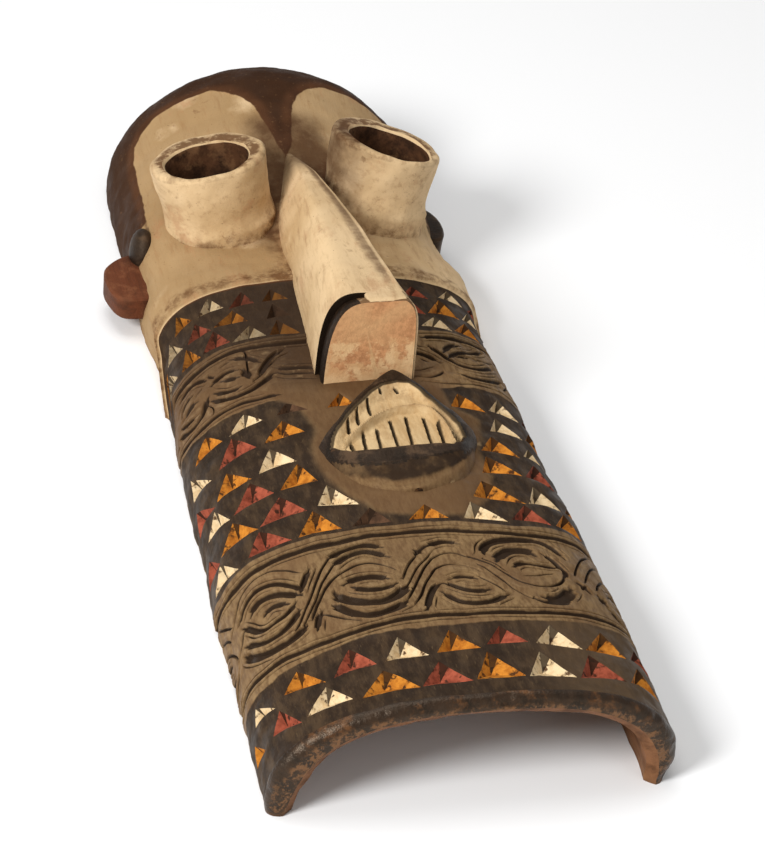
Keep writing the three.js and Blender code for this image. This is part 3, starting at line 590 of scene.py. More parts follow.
class Builder:
    """Vertices with their fields, and faces with a material each."""

    def __init__(self):
        self.points, self.fields, self.faces, self.kinds = [], {name: [] for name in FIELDS}, [], []
        self.pit_shades = {}
        self.count = 0

    def add(self, points, **fields):
        points = np.asarray(points, float).reshape(-1, 3)
        first = self.count
        self.points.append(points)
        for name in FIELDS:
            values = np.asarray(fields.get(name, 0.0), float)
            self.fields[name].append(np.broadcast_to(values, (len(points),)))
        self.count += len(points)
        return np.arange(first, self.count)

    def face(self, faces, kind):
        for corners in faces:
            self.faces.append([int(i) for i in corners])
            self.kinds.append(kind)

    def sheet(self, grid, kind, closed=False):
        """Faces over a grid of vertex numbers, rows first; closed joins the last column to the first."""
        after = np.roll(grid, -1, axis=1) if closed else grid[:, 1:]
        before = grid if closed else grid[:, :-1]
        quads = np.stack([before[:-1], after[:-1], after[1:], before[1:]], -1).reshape(-1, 4)
        self.face(quads, kind)

    def fan(self, loop, centre, kind, flip=False):
        pairs = list(zip(loop, np.roll(loop, -1)))
        self.face([(b, a, centre) if flip else (a, b, centre) for a, b in pairs], kind)

    def cap(self, ring, kind, flip=False, **fields):
        """Closes a ring of vertices with a fan round its middle."""
        centre = self.add(np.vstack(self.points)[ring].mean(0), **fields)[0]
        self.fan(ring, centre, kind, flip)

    def object(self, name):
        points = np.vstack(self.points)
        mesh = bpy.data.meshes.new(name)
        mesh.from_pydata((points + SHIFT) * 0.001, [], self.faces)
        mesh.polygons.foreach_set("material_index", np.array(self.kinds, np.int32))
        corner = np.zeros(len(mesh.loops), np.int32)
        mesh.loops.foreach_get("vertex_index", corner)
        for field in FIELDS:
            values = np.concatenate(self.fields[field]).astype(np.float32)
            mesh.attributes.new(field, "FLOAT", "CORNER").data.foreach_set("value", values[corner])
        pit_shade = mesh.attributes.new("pit_shade", "FLOAT", "CORNER").data
        for number, value in self.pit_shades.items():
            for corner_number in mesh.polygons[number].loop_indices:
                pit_shade[corner_number].value = value
        for material in MATERIALS:
            mesh.materials.append(material)
        body = bmesh.new()
        body.from_mesh(mesh)
        bmesh.ops.remove_doubles(body, verts=body.verts, dist=2e-6)
        bmesh.ops.triangulate(body, faces=body.faces)
        bmesh.ops.recalc_face_normals(body, faces=body.faces)
        body.to_mesh(mesh)
        body.free()
        made = bpy.data.objects.new(name, mesh)
        bpy.context.scene.collection.objects.link(made)
        return made


def combine(base, other, operation):
    """Joins or cuts base with other, and removes other."""
    modifier = base.modifiers.new("combine", "BOOLEAN")
    modifier.object = other
    modifier.operation = operation
    modifier.solver = "MANIFOLD"
    evaluated = base.evaluated_get(bpy.context.evaluated_depsgraph_get())
    mesh = bpy.data.meshes.new_from_object(evaluated)
    base.modifiers.clear()
    old = base.data
    base.data = mesh
    bpy.data.meshes.remove(old)
    bpy.data.objects.remove(other)
    if not mesh.polygons:
        raise RuntimeError("the boolean left nothing")


low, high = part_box("mask")
SHIFT = np.array([low.x * 1000 - EARS[0]["outer"], low.y * 1000, 0.0])
END = (high.y - low.y) * 1000 - 0.05


# Materials

def srgb(r, g, b):
    values = np.array([r, g, b], float) / 255
    linear = np.where(values <= 0.04045, values / 12.92, ((values + 0.055) / 1.055) ** 2.4)
    return (*linear, 1.0)


class Paint:
    """A material whose nodes are made by short calls."""

    def __init__(self, name):
        self.material = bpy.data.materials.new(name)
        self.material.use_nodes = True
        self.tree = self.material.node_tree
        self.tree.nodes.clear()
        self.output = self.tree.nodes.new("ShaderNodeOutputMaterial")
        self.shader = self.tree.nodes.new("ShaderNodeBsdfPrincipled")
        self.tree.links.new(self.shader.outputs[0], self.output.inputs[0])
        self.place = self.tree.nodes.new("ShaderNodeTexCoord").outputs["Object"]

    def put(self, socket, value):
        if isinstance(value, bpy.types.NodeSocket):
            self.tree.links.new(value, socket)
        else:
            socket.default_value = value

    def noise(self, scale, detail=3.0, roughness=0.55, stretch=(1, 1, 1)):
        mapping = self.tree.nodes.new("ShaderNodeMapping")
        self.put(mapping.inputs["Vector"], self.place)
        mapping.inputs["Scale"].default_value = stretch
        node = self.tree.nodes.new("ShaderNodeTexNoise")
        self.put(node.inputs["Vector"], mapping.outputs[0])
        node.inputs["Scale"].default_value = scale
        node.inputs["Detail"].default_value = detail
        node.inputs["Roughness"].default_value = roughness
        return node.outputs["Fac"]

    def field(self, name):
        node = self.tree.nodes.new("ShaderNodeAttribute")
        node.attribute_name = name
        return node.outputs["Fac"]

    def math(self, operation, a, b=0.0):
        node = self.tree.nodes.new("ShaderNodeMath")
        node.operation = operation
        self.put(node.inputs[0], a)
        self.put(node.inputs[1], b)
        return node.outputs[0]

    def range(self, value, low, high, to_low=0.0, to_high=1.0):
        node = self.tree.nodes.new("ShaderNodeMapRange")
        node.interpolation_type = "SMOOTHSTEP"
        self.put(node.inputs["Value"], value)
        for name, number in (("From Min", low), ("From Max", high), ("To Min", to_low), ("To Max", to_high)):
            node.inputs[name].default_value = number
        return node.outputs[0]

    def mix(self, factor, a, b):
        node = self.tree.nodes.new("ShaderNodeMix")
        node.data_type = "RGBA"
        self.put(node.inputs[0], factor)
        self.put(node.inputs[6], a)
        self.put(node.inputs[7], b)
        return node.outputs[2]

    def tint(self, color, tint, value, low, high, share=1.0):
        """Takes a color towards a tint, given in sRGB, as the value goes from low to high."""
        return self.mix(self.range(value, low, high, 0.0, share), color, srgb(*tint))

    def ragged(self, value, amount, noise, middle=0.5):
        """A value made uneven by noise."""
        return self.math("ADD", value, self.math("MULTIPLY", self.math("SUBTRACT", noise, middle), amount))

    # Painted shade: one minus ambient occlusion, to darken creases and corners
    def crevice_shade(self, distance):
        node = self.tree.nodes.new("ShaderNodeAmbientOcclusion")
        node.samples = 6
        node.inputs["Distance"].default_value = distance
        return self.math("SUBTRACT", 1.0, node.outputs["AO"])

    def edge(self):
        return self.tree.nodes.new("ShaderNodeNewGeometry").outputs["Pointiness"]

    def finish(self, color, roughness, height, strength, distance=0.001, specular=0.35):
        self.put(self.shader.inputs["Base Color"], color)
        self.put(self.shader.inputs["Roughness"], roughness)
        self.shader.inputs["Specular IOR Level"].default_value = specular
        self.shader.inputs["Specular Tint"].default_value = (1, 0.8, 0.6, 1)
        bump = self.tree.nodes.new("ShaderNodeBump")
        bump.inputs["Strength"].default_value = strength
        bump.inputs["Distance"].default_value = distance
        self.put(bump.inputs["Height"], height)
        self.put(self.shader.inputs["Normal"], bump.outputs[0])
        return self.material


GRAIN = (1.0, 0.14, 1.0)


def kaolin():
    p = Paint("kaolin_and_umber")
    cream = p.tint(srgb(210, 181, 140), (184, 153, 111), p.noise(14, 4), 0.35, 0.7)
    cream = p.tint(cream, (146, 112, 76), p.noise(70, 5, 0.65, GRAIN), 0.5, 0.75, 0.4)
    # Painted shade on the head's cream where inside is set, against the brighter tubes and nose
    cream = p.tint(cream, (142, 112, 74), p.field("inside"), 0.0, 1.0, 0.75)
    cream = p.tint(cream, (228, 200, 160), p.noise(28, 4), 0.55, 0.75, 0.5)
    cream = p.tint(cream, (164, 116, 80), p.noise(48, 5, 0.7, (1, 0.45, 1)), 0.55, 0.7, 0.45)
    cream = p.tint(cream, (140, 104, 68), p.noise(210, 5, 0.7, GRAIN), 0.5, 0.7, 0.4)
    cream = p.tint(cream, (112, 78, 50), p.noise(110, 5, 0.75), 0.6, 0.72, 0.5)
    umber = p.tint(srgb(62, 37, 22), (80, 50, 30), p.noise(40, 5), 0.3, 0.7)
    umber = p.tint(umber, (40, 24, 14), p.field("umber"), 0.3, 1.0, 0.6)
    umber = p.tint(umber, (120, 88, 58), p.noise(420, 3), 0.62, 0.72, 0.4)
    # Dirt and stains, with painted shade: occlusion darkens the creases, and the stain field adds painted
    # shade between the eyes, beside the nose and on the tubes' sides facing it
    dirt_and_shade = p.math("ADD", p.field("stain"), p.math("MULTIPLY", p.crevice_shade(0.012), 0.8))
    dirt_and_shade = p.math("MULTIPLY", dirt_and_shade, p.range(p.noise(120, 5, 0.7), 0.3, 0.7, 0.3, 1.5))
    color = p.tint(cream, (96, 64, 38), dirt_and_shade, 0.15, 0.9, 0.9)
    color = p.tint(color, (78, 52, 32), p.noise(650, 2), 0.7, 0.76, 0.7)
    strip = p.ragged(p.field("groove"), 0.8, p.noise(90, 5, 0.7))
    color = p.tint(color, (88, 62, 42), strip, 1.3, 2.0, 0.8)
    # Painted shade between the eyes, beside the nose, at its root and on the tubes' sides facing it
    shade = p.math("MULTIPLY", p.field("taupe"), p.range(p.noise(60, 5, 0.65), 0.3, 0.7, 0.8, 1.2))
    color = p.tint(color, (76, 50, 31), shade, 0.0, 1.1, 0.92)
    color = p.mix(p.range(p.ragged(p.field("umber"), 0.3, p.noise(90, 4)), -0.05, 0.05), color, umber)
    worn_edge = p.math("SUBTRACT", p.range(p.edge(), 0.53, 0.6, 0, 0.5), p.field("groove"))
    color = p.mix(p.math("MAXIMUM", worn_edge, 0.0), color, srgb(128, 96, 62))
    height = p.math("ADD", p.noise(900, 4, 0.6), p.math("MULTIPLY", p.noise(150, 5, 0.6, GRAIN), 2.0))
    return p.finish(color, p.range(p.noise(60, 3), 0.3, 0.7, 0.62, 0.85), height, 0.35, 0.0006, 0.12)


def carved():
    p = Paint("carved_wood_skin")
    black = p.tint(srgb(40, 28, 19), (66, 50, 34), p.noise(150, 5, 0.7, (1, 0.3, 1)), 0.4, 0.66)
    black = p.tint(black, (118, 96, 66), p.noise(1300, 3, 0.6, (1, 0.12, 1)), 0.6, 0.78, 0.45)
    black = p.tint(black, (26, 18, 12), p.noise(50, 4), 0.5, 0.7, 0.6)
    # Painted sheen: the black ground lighter on the lower right, where umber is below 0
    black = p.tint(black, (104, 82, 58), p.field("umber"), 0.0, -1.0, 0.35)
    taupe = p.tint(srgb(127, 101, 68), (96, 72, 46), p.noise(360, 5, 0.65, (1, 0.3, 1)), 0.38, 0.66)
    taupe = p.tint(taupe, (100, 73, 47), p.noise(30, 3), 0.4, 0.7, 0.6)
    taupe = p.tint(taupe, (92, 66, 42), p.field("stain"), 0.0, 1.0, 0.75)
    # Strokes darker with their depth, and painted shade in creases from occlusion
    hollow = p.math("ADD", p.field("groove"), p.math("MULTIPLY", p.crevice_shade(0.004), 0.5))
    hollow = p.math("MULTIPLY", hollow, p.range(p.noise(60, 4), 0.3, 0.7, 0.6, 1.3))
    taupe = p.tint(taupe, (34, 22, 14), hollow, 0.2, 0.85, 0.95)
    is_taupe = p.range(p.ragged(p.field("taupe"), 0.22, p.noise(160, 4)), -0.06, 0.06)
    soft = p.range(p.ragged(p.field("stain"), 0.22, p.noise(160, 4)), 0.1, 0.8)
    color = p.mix(p.math("MAXIMUM", is_taupe, soft), black, taupe)
    # Painted shade on the upper left and beside the nose
    color = p.tint(color, (44, 30, 20), p.field("umber"), 0.0, 1.0, 0.8)
    # Painted highlight on the crests of the ridges and on edges
    color = p.tint(color, (156, 130, 94), p.edge(), 0.52, 0.6, 0.5)
    height = p.math("ADD", p.noise(700, 4, 0.6, GRAIN), p.noise(260, 5, 0.6, GRAIN))
    return p.finish(color, p.range(p.noise(90, 3), 0.3, 0.7, 0.5, 0.8), height, 0.26, 0.0006, 0.2)


def pit_paint(name, light, deep, bare):
    p = Paint(name)
    color = p.tint(srgb(*light), deep, p.noise(180, 5, 0.65), 0.35, 0.7)
    worn = p.ragged(p.field("inside"), 0.45, p.noise(300, 4), middle=0.4)
    color = p.mix(p.range(worn, -0.02, 0.06), srgb(*bare), color)
    color = p.tint(color, bare, p.noise(420, 4, 0.7), 0.64, 0.74, 0.7)
    # Painted shade on the pits' notch and left facets, stronger in the upper left
    dark = p.ragged(p.field("pit_shade"), 0.4, p.noise(260, 4))
    color = p.tint(color, (34, 22, 14), dark, 0.1, 0.8, 0.92)
    # Painted shade on the upper left and beside the nose
    color = p.tint(color, (44, 30, 20), p.field("umber"), 0.0, 1.0, 0.8)
    height = p.math("ADD", p.noise(700, 4, 0.6), p.noise(260, 5, 0.6, GRAIN))
    return p.finish(color, 0.78, height, 0.4, 0.0006, 0.12)


def facet_paint():
    p = Paint("nose_facet")
    pink = p.tint(srgb(206, 150, 104), (176, 124, 84), p.noise(260, 5, 0.7), 0.35, 0.65)
    cream = p.tint(srgb(226, 188, 140), (206, 158, 110), p.noise(90, 4), 0.35, 0.7)
    worn = p.ragged(p.field("stain"), 2.2, p.noise(85, 5, 0.7))
    color = p.mix(p.range(worn, 0.3, 0.55), cream, pink)
    color = p.tint(color, (210, 172, 124), p.edge(), 0.52, 0.6, 0.6)
    height = p.math("ADD", p.noise(700, 4, 0.6), p.noise(160, 5, 0.6))
    return p.finish(color, 0.78, height, 0.45, 0.0007, 0.12)


def plain_wood(name, light, deep, worn, roughness, specular=0.2, worn_share=0.6):
    p = Paint(name)
    color = p.tint(srgb(*light), deep, p.noise(120, 5, 0.65, GRAIN), 0.35, 0.7)
    color = p.tint(color, worn, p.noise(45, 5, 0.7), 0.52, 0.66, worn_share)
    # Lighter on convex edges: wear, and on the black lip's front ridge a painted highlight
    color = p.tint(color, worn, p.edge(), 0.52, 0.62, 0.7)
    # Painted shade in creases from occlusion, with the groove field: painted shade in the bores and on the
    # black nostril faces, darker cuts and lips
    dark = p.math("ADD", p.crevice_shade(0.01), p.field("groove"))
    stain = p.math("MULTIPLY", p.field("stain"), p.range(p.noise(240, 5, 0.75), 0.42, 0.62, 0.0, 1.4))
    color = p.tint(color, (112, 76, 46), stain, 0.1, 1.0, 0.85)
    color = p.tint(color, (24, 16, 10), dark, 0.2, 0.9, 0.9)
    height = p.math("ADD", p.noise(600, 4, 0.6), p.math("MULTIPLY", p.noise(140, 5, 0.6, GRAIN), 2.0))
    return p.finish(color, roughness, height, 0.45, 0.0008, specular)


MATERIALS = [
    kaolin(),
    carved(),
    pit_paint("paint_white", (222, 198, 158), (196, 166, 122), (84, 60, 40)),
    pit_paint("paint_ochre", (196, 126, 44), (150, 86, 26), (70, 42, 22)),
    pit_paint("paint_red", (158, 80, 58), (116, 54, 38), (62, 36, 26)),
    pit_paint("paint_soot", (88, 62, 44), (60, 42, 30), (44, 30, 20)),
    plain_wood("worn_rim", (44, 30, 20), (20, 13, 9), (128, 82, 44), 0.34, 0.4, 0.4),
    plain_wood("bare_inside", (124, 84, 56), (84, 54, 34), (140, 100, 66), 0.7),
    plain_wood("tube_bore", (78, 50, 32), (40, 24, 15), (108, 76, 50), 0.75, 0.1),
    plain_wood("soot_black", (46, 34, 25), (24, 17, 12), (96, 74, 54), 0.5, 0.2, 0.5),
    plain_wood("teeth_kaolin", (206, 178, 134), (180, 148, 104), (140, 104, 68), 0.75, 0.12, 0.3),
    facet_paint(),
    plain_wood("ear_redwood", (96, 52, 32), (66, 36, 22), (122, 76, 50), 0.6, 0.15),
]


# The skin of the lower face

def sideways(path):
    """Unit vectors across a path."""
    forward = np.gradient(path, axis=0)
    forward /= np.linalg.norm(forward, axis=1, keepdims=True)
    return np.stack([-forward[:, 1], forward[:, 0]], -1)


def all_strokes():
    """The measured gouge strokes, with a thin line beside each wide one where there is room."""
    made = []
    for half, deep, flat in STROKES:
        half *= 1.4 if half > 1.45 else 0.9
        made.append((half, deep * STROKE_DEEPER, curve_through(flat, 2.0)))
    for half, deep, path in made[: len(STROKES)]:
        if half < 1.8 or len(path) < 7:
            continue
        for turn in (1, -1):
            line = path + sideways(path) * turn * (half + 2.1)
            zone, patch = zone_fields(line)
            clear = (zone > 0.1) & (patch < -0.3)
            for other_half, _, other in made:
                gap, _, _ = distance_to_path(line, other)
                clear &= gap > other_half + 1.45
            steps = np.flatnonzero(np.diff(np.r_[0, clear.astype(int), 0]))
            for begin, end in zip(steps[::2], steps[1::2]):
                if end - begin >= 5:
                    made.append((0.75, 1.1, line[begin:end]))
    return made


def carved_height(points, strokes):
    """Depth of the gouge strokes at points on the skin."""
    depth = np.zeros(len(points))
    for half, deep, path in strokes:
        near = np.all((points > path.min(0) - half) & (points < path.max(0) + half), axis=1)
        if not near.any():
            continue
        gap, place, length = distance_to_path(points[near], path)
        taper = np.clip(np.minimum(place, length - place) / 6 + 0.25, 0, 1)
        shape = np.clip((1 - gap / (half * taper)) / 0.42, 0, 1)
        depth[near] = np.maximum(depth[near], deep * (0.4 + 0.6 * taper) * shape)
    return depth


def zone_fields(points):
    """How far points are inside the carved bands and inside the smooth patch, in centimetres."""
    across, station = points[:, 0], points[:, 1]
    low = np.minimum(station - along(across, LOW_BAND_FOOT), along(across, LOW_BAND_HEAD) - station)
    high = np.minimum(station - along(across, HIGH_BAND_FOOT), along(across, HIGH_BAND_HEAD) - station)
    patch = signed_distance(points, SMOOTH_PATCH)
    return np.clip(np.maximum(low, high) / 10, -1, 1), np.clip(patch / 10, -1, 1)


class Spread:
    """Points kept at least a given distance apart; the fixed ones are numbered and joined by edges."""

    def __init__(self, cell=2.0):
        self.cell, self.boxes = cell, {}
        self.fixed, self.edges = [], []

    def add(self, point, gap):
        x, y = float(point[0]), float(point[1])
        cx, cy = int(x // self.cell), int(y // self.cell)
        reach = int(math.ceil(gap / self.cell))
        for i in range(cx - reach, cx + reach + 1):
            for j in range(cy - reach, cy + reach + 1):
                for px, py in self.boxes.get((i, j), ()):
                    if (px - x) ** 2 + (py - y) ** 2 < gap * gap:
                        return False
        self.boxes.setdefault((cx, cy), []).append((x, y))
        return True

    def fix(self, point):
        self.add(point, 0.0)
        self.fixed.append((float(point[0]), float(point[1])))
        return len(self.fixed) - 1

    def join(self, line):
        self.edges += list(zip(line[:-1], line[1:]))


def pit_layout(pit):
    """Corners of a pit, its deep point, and where the knife's notch leaves its right edge."""
    left, right, tip = (np.array(pit[i : i + 2], float) for i in (0, 2, 4))
    deep = left * 0.37 + right * 0.22 + tip * 0.41
    return left, right, tip, deep, tip + (right - tip) * NOTCH_SHARE


def fix_border(spread):
    """Fixes the points round the lower face; returns the chin's, the cheeks' and both sides' numbers."""
    chin, cheek = ([spread.fix((x, y)) for x in across_at(y)] for y in (CHIN_ROUNDING, CHEEK_LINE))
    stations = np.linspace(CHIN_ROUNDING, CHEEK_LINE, 150)[1:-1]
    left, right = (
        [chin[end]] + [spread.fix((arc_row(y)[end], y)) for y in stations] + [cheek[end]] for end in (0, -1)
    )
    for line in (chin, cheek, left, right):
        spread.join(line)
    return chin, cheek, left, right


def fix_pits(spread):
    """Fixes the edges and facet middles of the pits that lie wholly on the face."""
    pits = []
    for pit in PITS:
        ends = arc_row(pit[1])
        if pit[0] < ends[0] + 4 or pit[2] > ends[-1] - 4:
            continue
        corners = dict(zip("abcdn", pit_layout(pit)))
        numbers = {name: spread.fix(point) for name, point in corners.items()}
        for name in PIT_EDGES:
            p, q = corners[name[0]], corners[name[1]]
            steps = max(1, round(np.linalg.norm(p - q) / 5))
            inner = [spread.fix(p + (q - p) * k / steps) for k in range(1, steps)]
            line = [numbers[name[0]], *inner, numbers[name[1]]]
            spread.join(line)
        facets = []
        for name, pit_shade in PIT_FACETS:
            facet = np.array([corners[letter] for letter in name])
            middle = facet.mean(0)
            spread.fix(middle)
            facets.append((facet, middle, pit_shade))
        outline = np.array([corners[letter] for letter in "abc"])
        pits.append({"corners": outline, "facets": facets, "paint": pit[6]})
    return pits


def loose_spots(spread, pits, strokes):
    """Further points that follow the strokes and the bands and fill the rest."""
    extra = []
    for half, _, path in strokes:
        path = curve_through(path.ravel(), 1.7)
        for share in (0.58, -0.58, 1.05, -1.05, 0) if half > 1.4 else (0, 1.05, -1.05):
            extra += [(p, 0.6) for p in path + sideways(path) * half * share]
    for line in (LOW_BAND_FOOT, LOW_BAND_HEAD, HIGH_BAND_FOOT, HIGH_BAND_HEAD):
        path = curve_through(np.array(line, float).ravel(), 2.0)
        for lift in (0, 1.2, -1.2):
            extra += [(p + (0, lift), 0.9) for p in path]
    rng = np.random.default_rng(5)
    for y in np.arange(CHIN_ROUNDING + 1.5, CHEEK_LINE - 1, GRID_ALONG):
        for x in np.arange(-175, 175, GRID_ACROSS):
            extra.append((np.array([x, y]) + rng.uniform(-0.5, 0.5, 2), 1.9))
    spots = np.array([p for p, _ in extra])
    gaps = np.array([g for _, g in extra])
    ends = np.array([arc_row(y)[[0, -1]] for y in spots[:, 1]])
    keep = (spots[:, 0] > ends[:, 0] + 1.2) & (spots[:, 0] < ends[:, 1] - 1.2)
    keep &= (spots[:, 1] > CHIN_ROUNDING + 1.2) & (spots[:, 1] < CHEEK_LINE - 1.0)
    for pit in pits:
        middle = pit["corners"].mean(0)
        near = np.linalg.norm(spots - middle, axis=1) < PIT_REACH
        keep[near] &= signed_distance(spots[near], pit["corners"]) < -0.8
    zone = np.maximum(*zone_fields(spots)) > -0.2
    coarse = (gaps > 1.5) & ~zone
    checker = np.round(spots[:, 0] / GRID_ACROSS) + np.round(spots[:, 1] / GRID_ALONG)
    keep &= ~(coarse & (checker % 2 == 0))
    free = []
    for spot, gap in zip(spots[keep], gaps[keep]):
        if spread.add(spot, gap):
            free.append((float(spot[0]), float(spot[1])))
    return free


def skin_shape(spots, pits, strokes):
    """Lift of the skin at (across, along) spots, and its fields."""
    depth = carved_height(spots, strokes)
    groove = depth / 1.6
    zone, patch = zone_fields(spots)
    step = np.clip(-np.maximum(zone * 10, patch * 1.5), 0, 1) * GROUND_SUNK
    lift = -depth - step
    inside = np.zeros(len(spots))
    for pit in pits:
        near = np.where(np.linalg.norm(spots - pit["corners"].mean(0), axis=1) < PIT_REACH)[0]
        for corners, middle, _ in pit["facets"]:
            within = near[signed_distance(spots[near], corners) > -1e-3]
            edges = np.array([corners[1] - corners[0], corners[2] - corners[0]])
            weights = np.linalg.solve(edges.T, (spots[within] - corners[0]).T).T
            lift[within] = -PIT_DEPTH * np.clip(weights[:, 1], 0, 1) - GROUND_SUNK
            groove[within] = 0
            centre = within[np.linalg.norm(spots[within] - middle, axis=1) < 0.05]
            inside[centre] = 1.0
            lift[centre] -= 0.3
    chin_edge = np.clip(1 - (spots[:, 1] - CHIN_ROUNDING) / 6, 0, 1)
    lift *= 1 - chin_edge
    lift += 3.5 * np.exp(-(((spots[:, 0] - 6) / 34) ** 2) - ((spots[:, 1] - 205) / 13) ** 2)
    cheek_edge = np.clip(1 - (CHEEK_LINE - spots[:, 1]) / 2.5, 0, 1)
    lift *= 1 - cheek_edge

    patch = smooth(patch * 0.9 + 0.5)
    high = (spots[:, 1] > 318) * np.clip(zone * 10, 0, 1) * np.clip(0.75 - spots[:, 0] / 60, 0, 0.85)
    patch = np.maximum(patch, high)
    x, y = spots.T
    # Painted shade, with some darker patina, on the upper left and beside the nose; below 0 a painted sheen
    # lightens the lower right
    shade_and_sheen = 0.35 * smooth((y - 320) / 60) * smooth((50 - x) / 60)
    shade_and_sheen += 0.55 * np.exp(-(((x + 36) / 28) ** 2)) * smooth((y - 300) / 50)
    shade_and_sheen -= smooth((x - 10) / 60) * smooth((150 - y) / 60)
    return lift, {"taupe": zone, "groove": groove, "inside": inside, "stain": patch, "umber": shade_and_sheen}


def skin_paints(middles, pits):
    """Material and painted shade of the triangles with these middles."""
    kinds = np.full(len(middles), CARVED)
    pit_shades = np.zeros(len(middles))
    for pit in pits:
        near = np.where(np.linalg.norm(middles - pit["corners"].mean(0), axis=1) < PIT_REACH)[0]
        for corners, _, pit_shade in pit["facets"]:
            within = near[inside_polygon(middles[near], corners)]
            kinds[within] = PAINTS[pit["paint"]]
            # Painted shade, more on the pits in the upper left
            shade = smooth((middles[within, 1] - 340) / 60) * smooth((60 - middles[within, 0]) / 60)
            pit_shades[within] = pit_shade + 0.22 * shade
    return kinds, pit_shades


def lower_skin(builder):
    """The face from the chin to the cheeks as triangles that follow its carving; returns its edges."""
    spread = Spread()
    chin, cheek, left, right = fix_border(spread)
    pits, strokes = fix_pits(spread), all_strokes()
    flat = [Vector(p) for p in spread.fixed + loose_spots(spread, pits, strokes)]
    made, _, triangles, origins, _, _ = delaunay_2d_cdt(flat, spread.edges, [], 0, 1e-5, True)
    spots = np.array([(p.x, p.y) for p in made])
    new_of = {source: number for number, sources in enumerate(origins) for source in sources}

    lift, fields = skin_shape(spots, pits, strokes)
    numbers = builder.add(skin(spots[:, 0], spots[:, 1], lift), **fields)
    border = np.array([flat[i] for i in chin[:-1] + right[:-1] + cheek[:0:-1] + left[:0:-1]])
    middles = np.array([spots[list(t)].mean(0) for t in triangles])
    within = inside_polygon(middles, border)
    triangles = [t for t, good in zip(triangles, within) if good]
    kinds, pit_shades = skin_paints(middles[within], pits)
    for triangle, kind, pit_shade in zip(triangles, kinds, pit_shades):
        if pit_shade:
            builder.pit_shades[len(builder.faces)] = float(pit_shade)
        builder.face([[numbers[i] for i in triangle]], int(kind))
    return [[numbers[new_of[i]] for i in line] for line in (chin, cheek, left, right)]


def round_chin(builder, chin):
    """Rows of the rounded and chipped chin, from the skin's edge to the end face."""
    rows = [np.array(chin)]
    for k in range(CHIN_STEPS - 1, -1, -1):
        angle = k / CHIN_STEPS * np.pi / 2
        inset = CHIN_ROUNDING * (1 - np.sin(angle))
        y = CHIN_ROUNDING * (1 - np.cos(angle))
        turn = turn_at(across_at(CHIN_ROUNDING), CHIN_ROUNDING)
        point = outer_point(y, turn, inset)
        middle = np.array([0, CHIN_ROUNDING, 20.0])
        inward = middle - point
        inward /= np.linalg.norm(inward, axis=1, keepdims=True)
        chips = np.clip(wobble(point, 14, 8) - 0.9, 0, 1) * 1.6
        chips += np.clip(wobble(point, 6, 9) - 1.0, 0, 1) * 0.8
        depth = -uneven(point) + chips * (1 if k < CHIN_STEPS - 1 else 0.4)
        point = point + inward * depth[:, None]
        point[:, 1] = np.maximum(point[:, 1], 0) if k else 0
        point[[0, -1], 2] = 0
        low_end = 0.6 * np.clip((30 - point[:, 2]) / 14, 0, 1) * (k < 4)
        rows.append(builder.add(point, stain=np.maximum((0.75, 0.4, 0.15, 0, 0, 0)[k], low_end)))
    builder.sheet(np.array(rows[::-1]), RIM)
    return rows


def round_head(builder, cheek):
    """Rows of the head, from the cheeks to its domed end."""
    stations = [CHEEK_LINE + 1.5, CHEEK_LINE + 3, CHEEK_LINE + 5]
    stations += list(np.arange(CHEEK_LINE + 8, DOME_START - 1, 3.0))
    stations += list(DOME_START + (LENGTH - DOME_START) * np.sin(np.linspace(0.0, 0.985, 34) * np.pi / 2))
    rows = [np.array(cheek)]
    for station in stations:
        place = across_at(station)
        spots = np.stack([place, np.full(COLUMNS, station)], -1)
        umber, stain, lift, dark = head_fields(spots)
        points = skin(place, spots[:, 1], lift)
        points[:, 1] = np.minimum(points[:, 1], END - 0.1)
        # Painted shade on the head's cream, with some uneven paint: darker to the left and towards the top
        # of the forehead
        shade = np.clip(0.72 - place / 130, 0, 1)
        shade = np.maximum(shade, 0.75 * smooth((station - 590) / 20 + 0.5))
        rows.append(builder.add(points, umber=umber, stain=stain, inside=shade, taupe=dark))
    builder.sheet(np.array(rows), KAOLIN)
    return rows


def trunk():
    """The closed outer body: lower face, head and the flat back that the hollow is cut from."""
    builder = Builder()
    chin, cheek, left, right = lower_skin(builder)
    rows = round_chin(builder, chin)
    chin_row = rows[-1]
    head_rows = round_head(builder, cheek)
    tip = builder.add([[0.0, END, 0.0]], umber=1.0)[0]
    last = head_rows[-1]
    builder.face([(last[i], last[i + 1], tip) for i in range(COLUMNS - 1)], KAOLIN)

    left_side = [rows[k][0] for k in range(len(rows) - 1, 0, -1)] + left + [r[0] for r in head_rows[1:]]
    right_side = [rows[k][-1] for k in range(len(rows) - 1, 0, -1)] + right + [r[-1] for r in head_rows[1:]]
    builder.face([left_side + [tip] + right_side[::-1]], BARE)
    builder.face([list(chin_row)], RIM)
    return builder


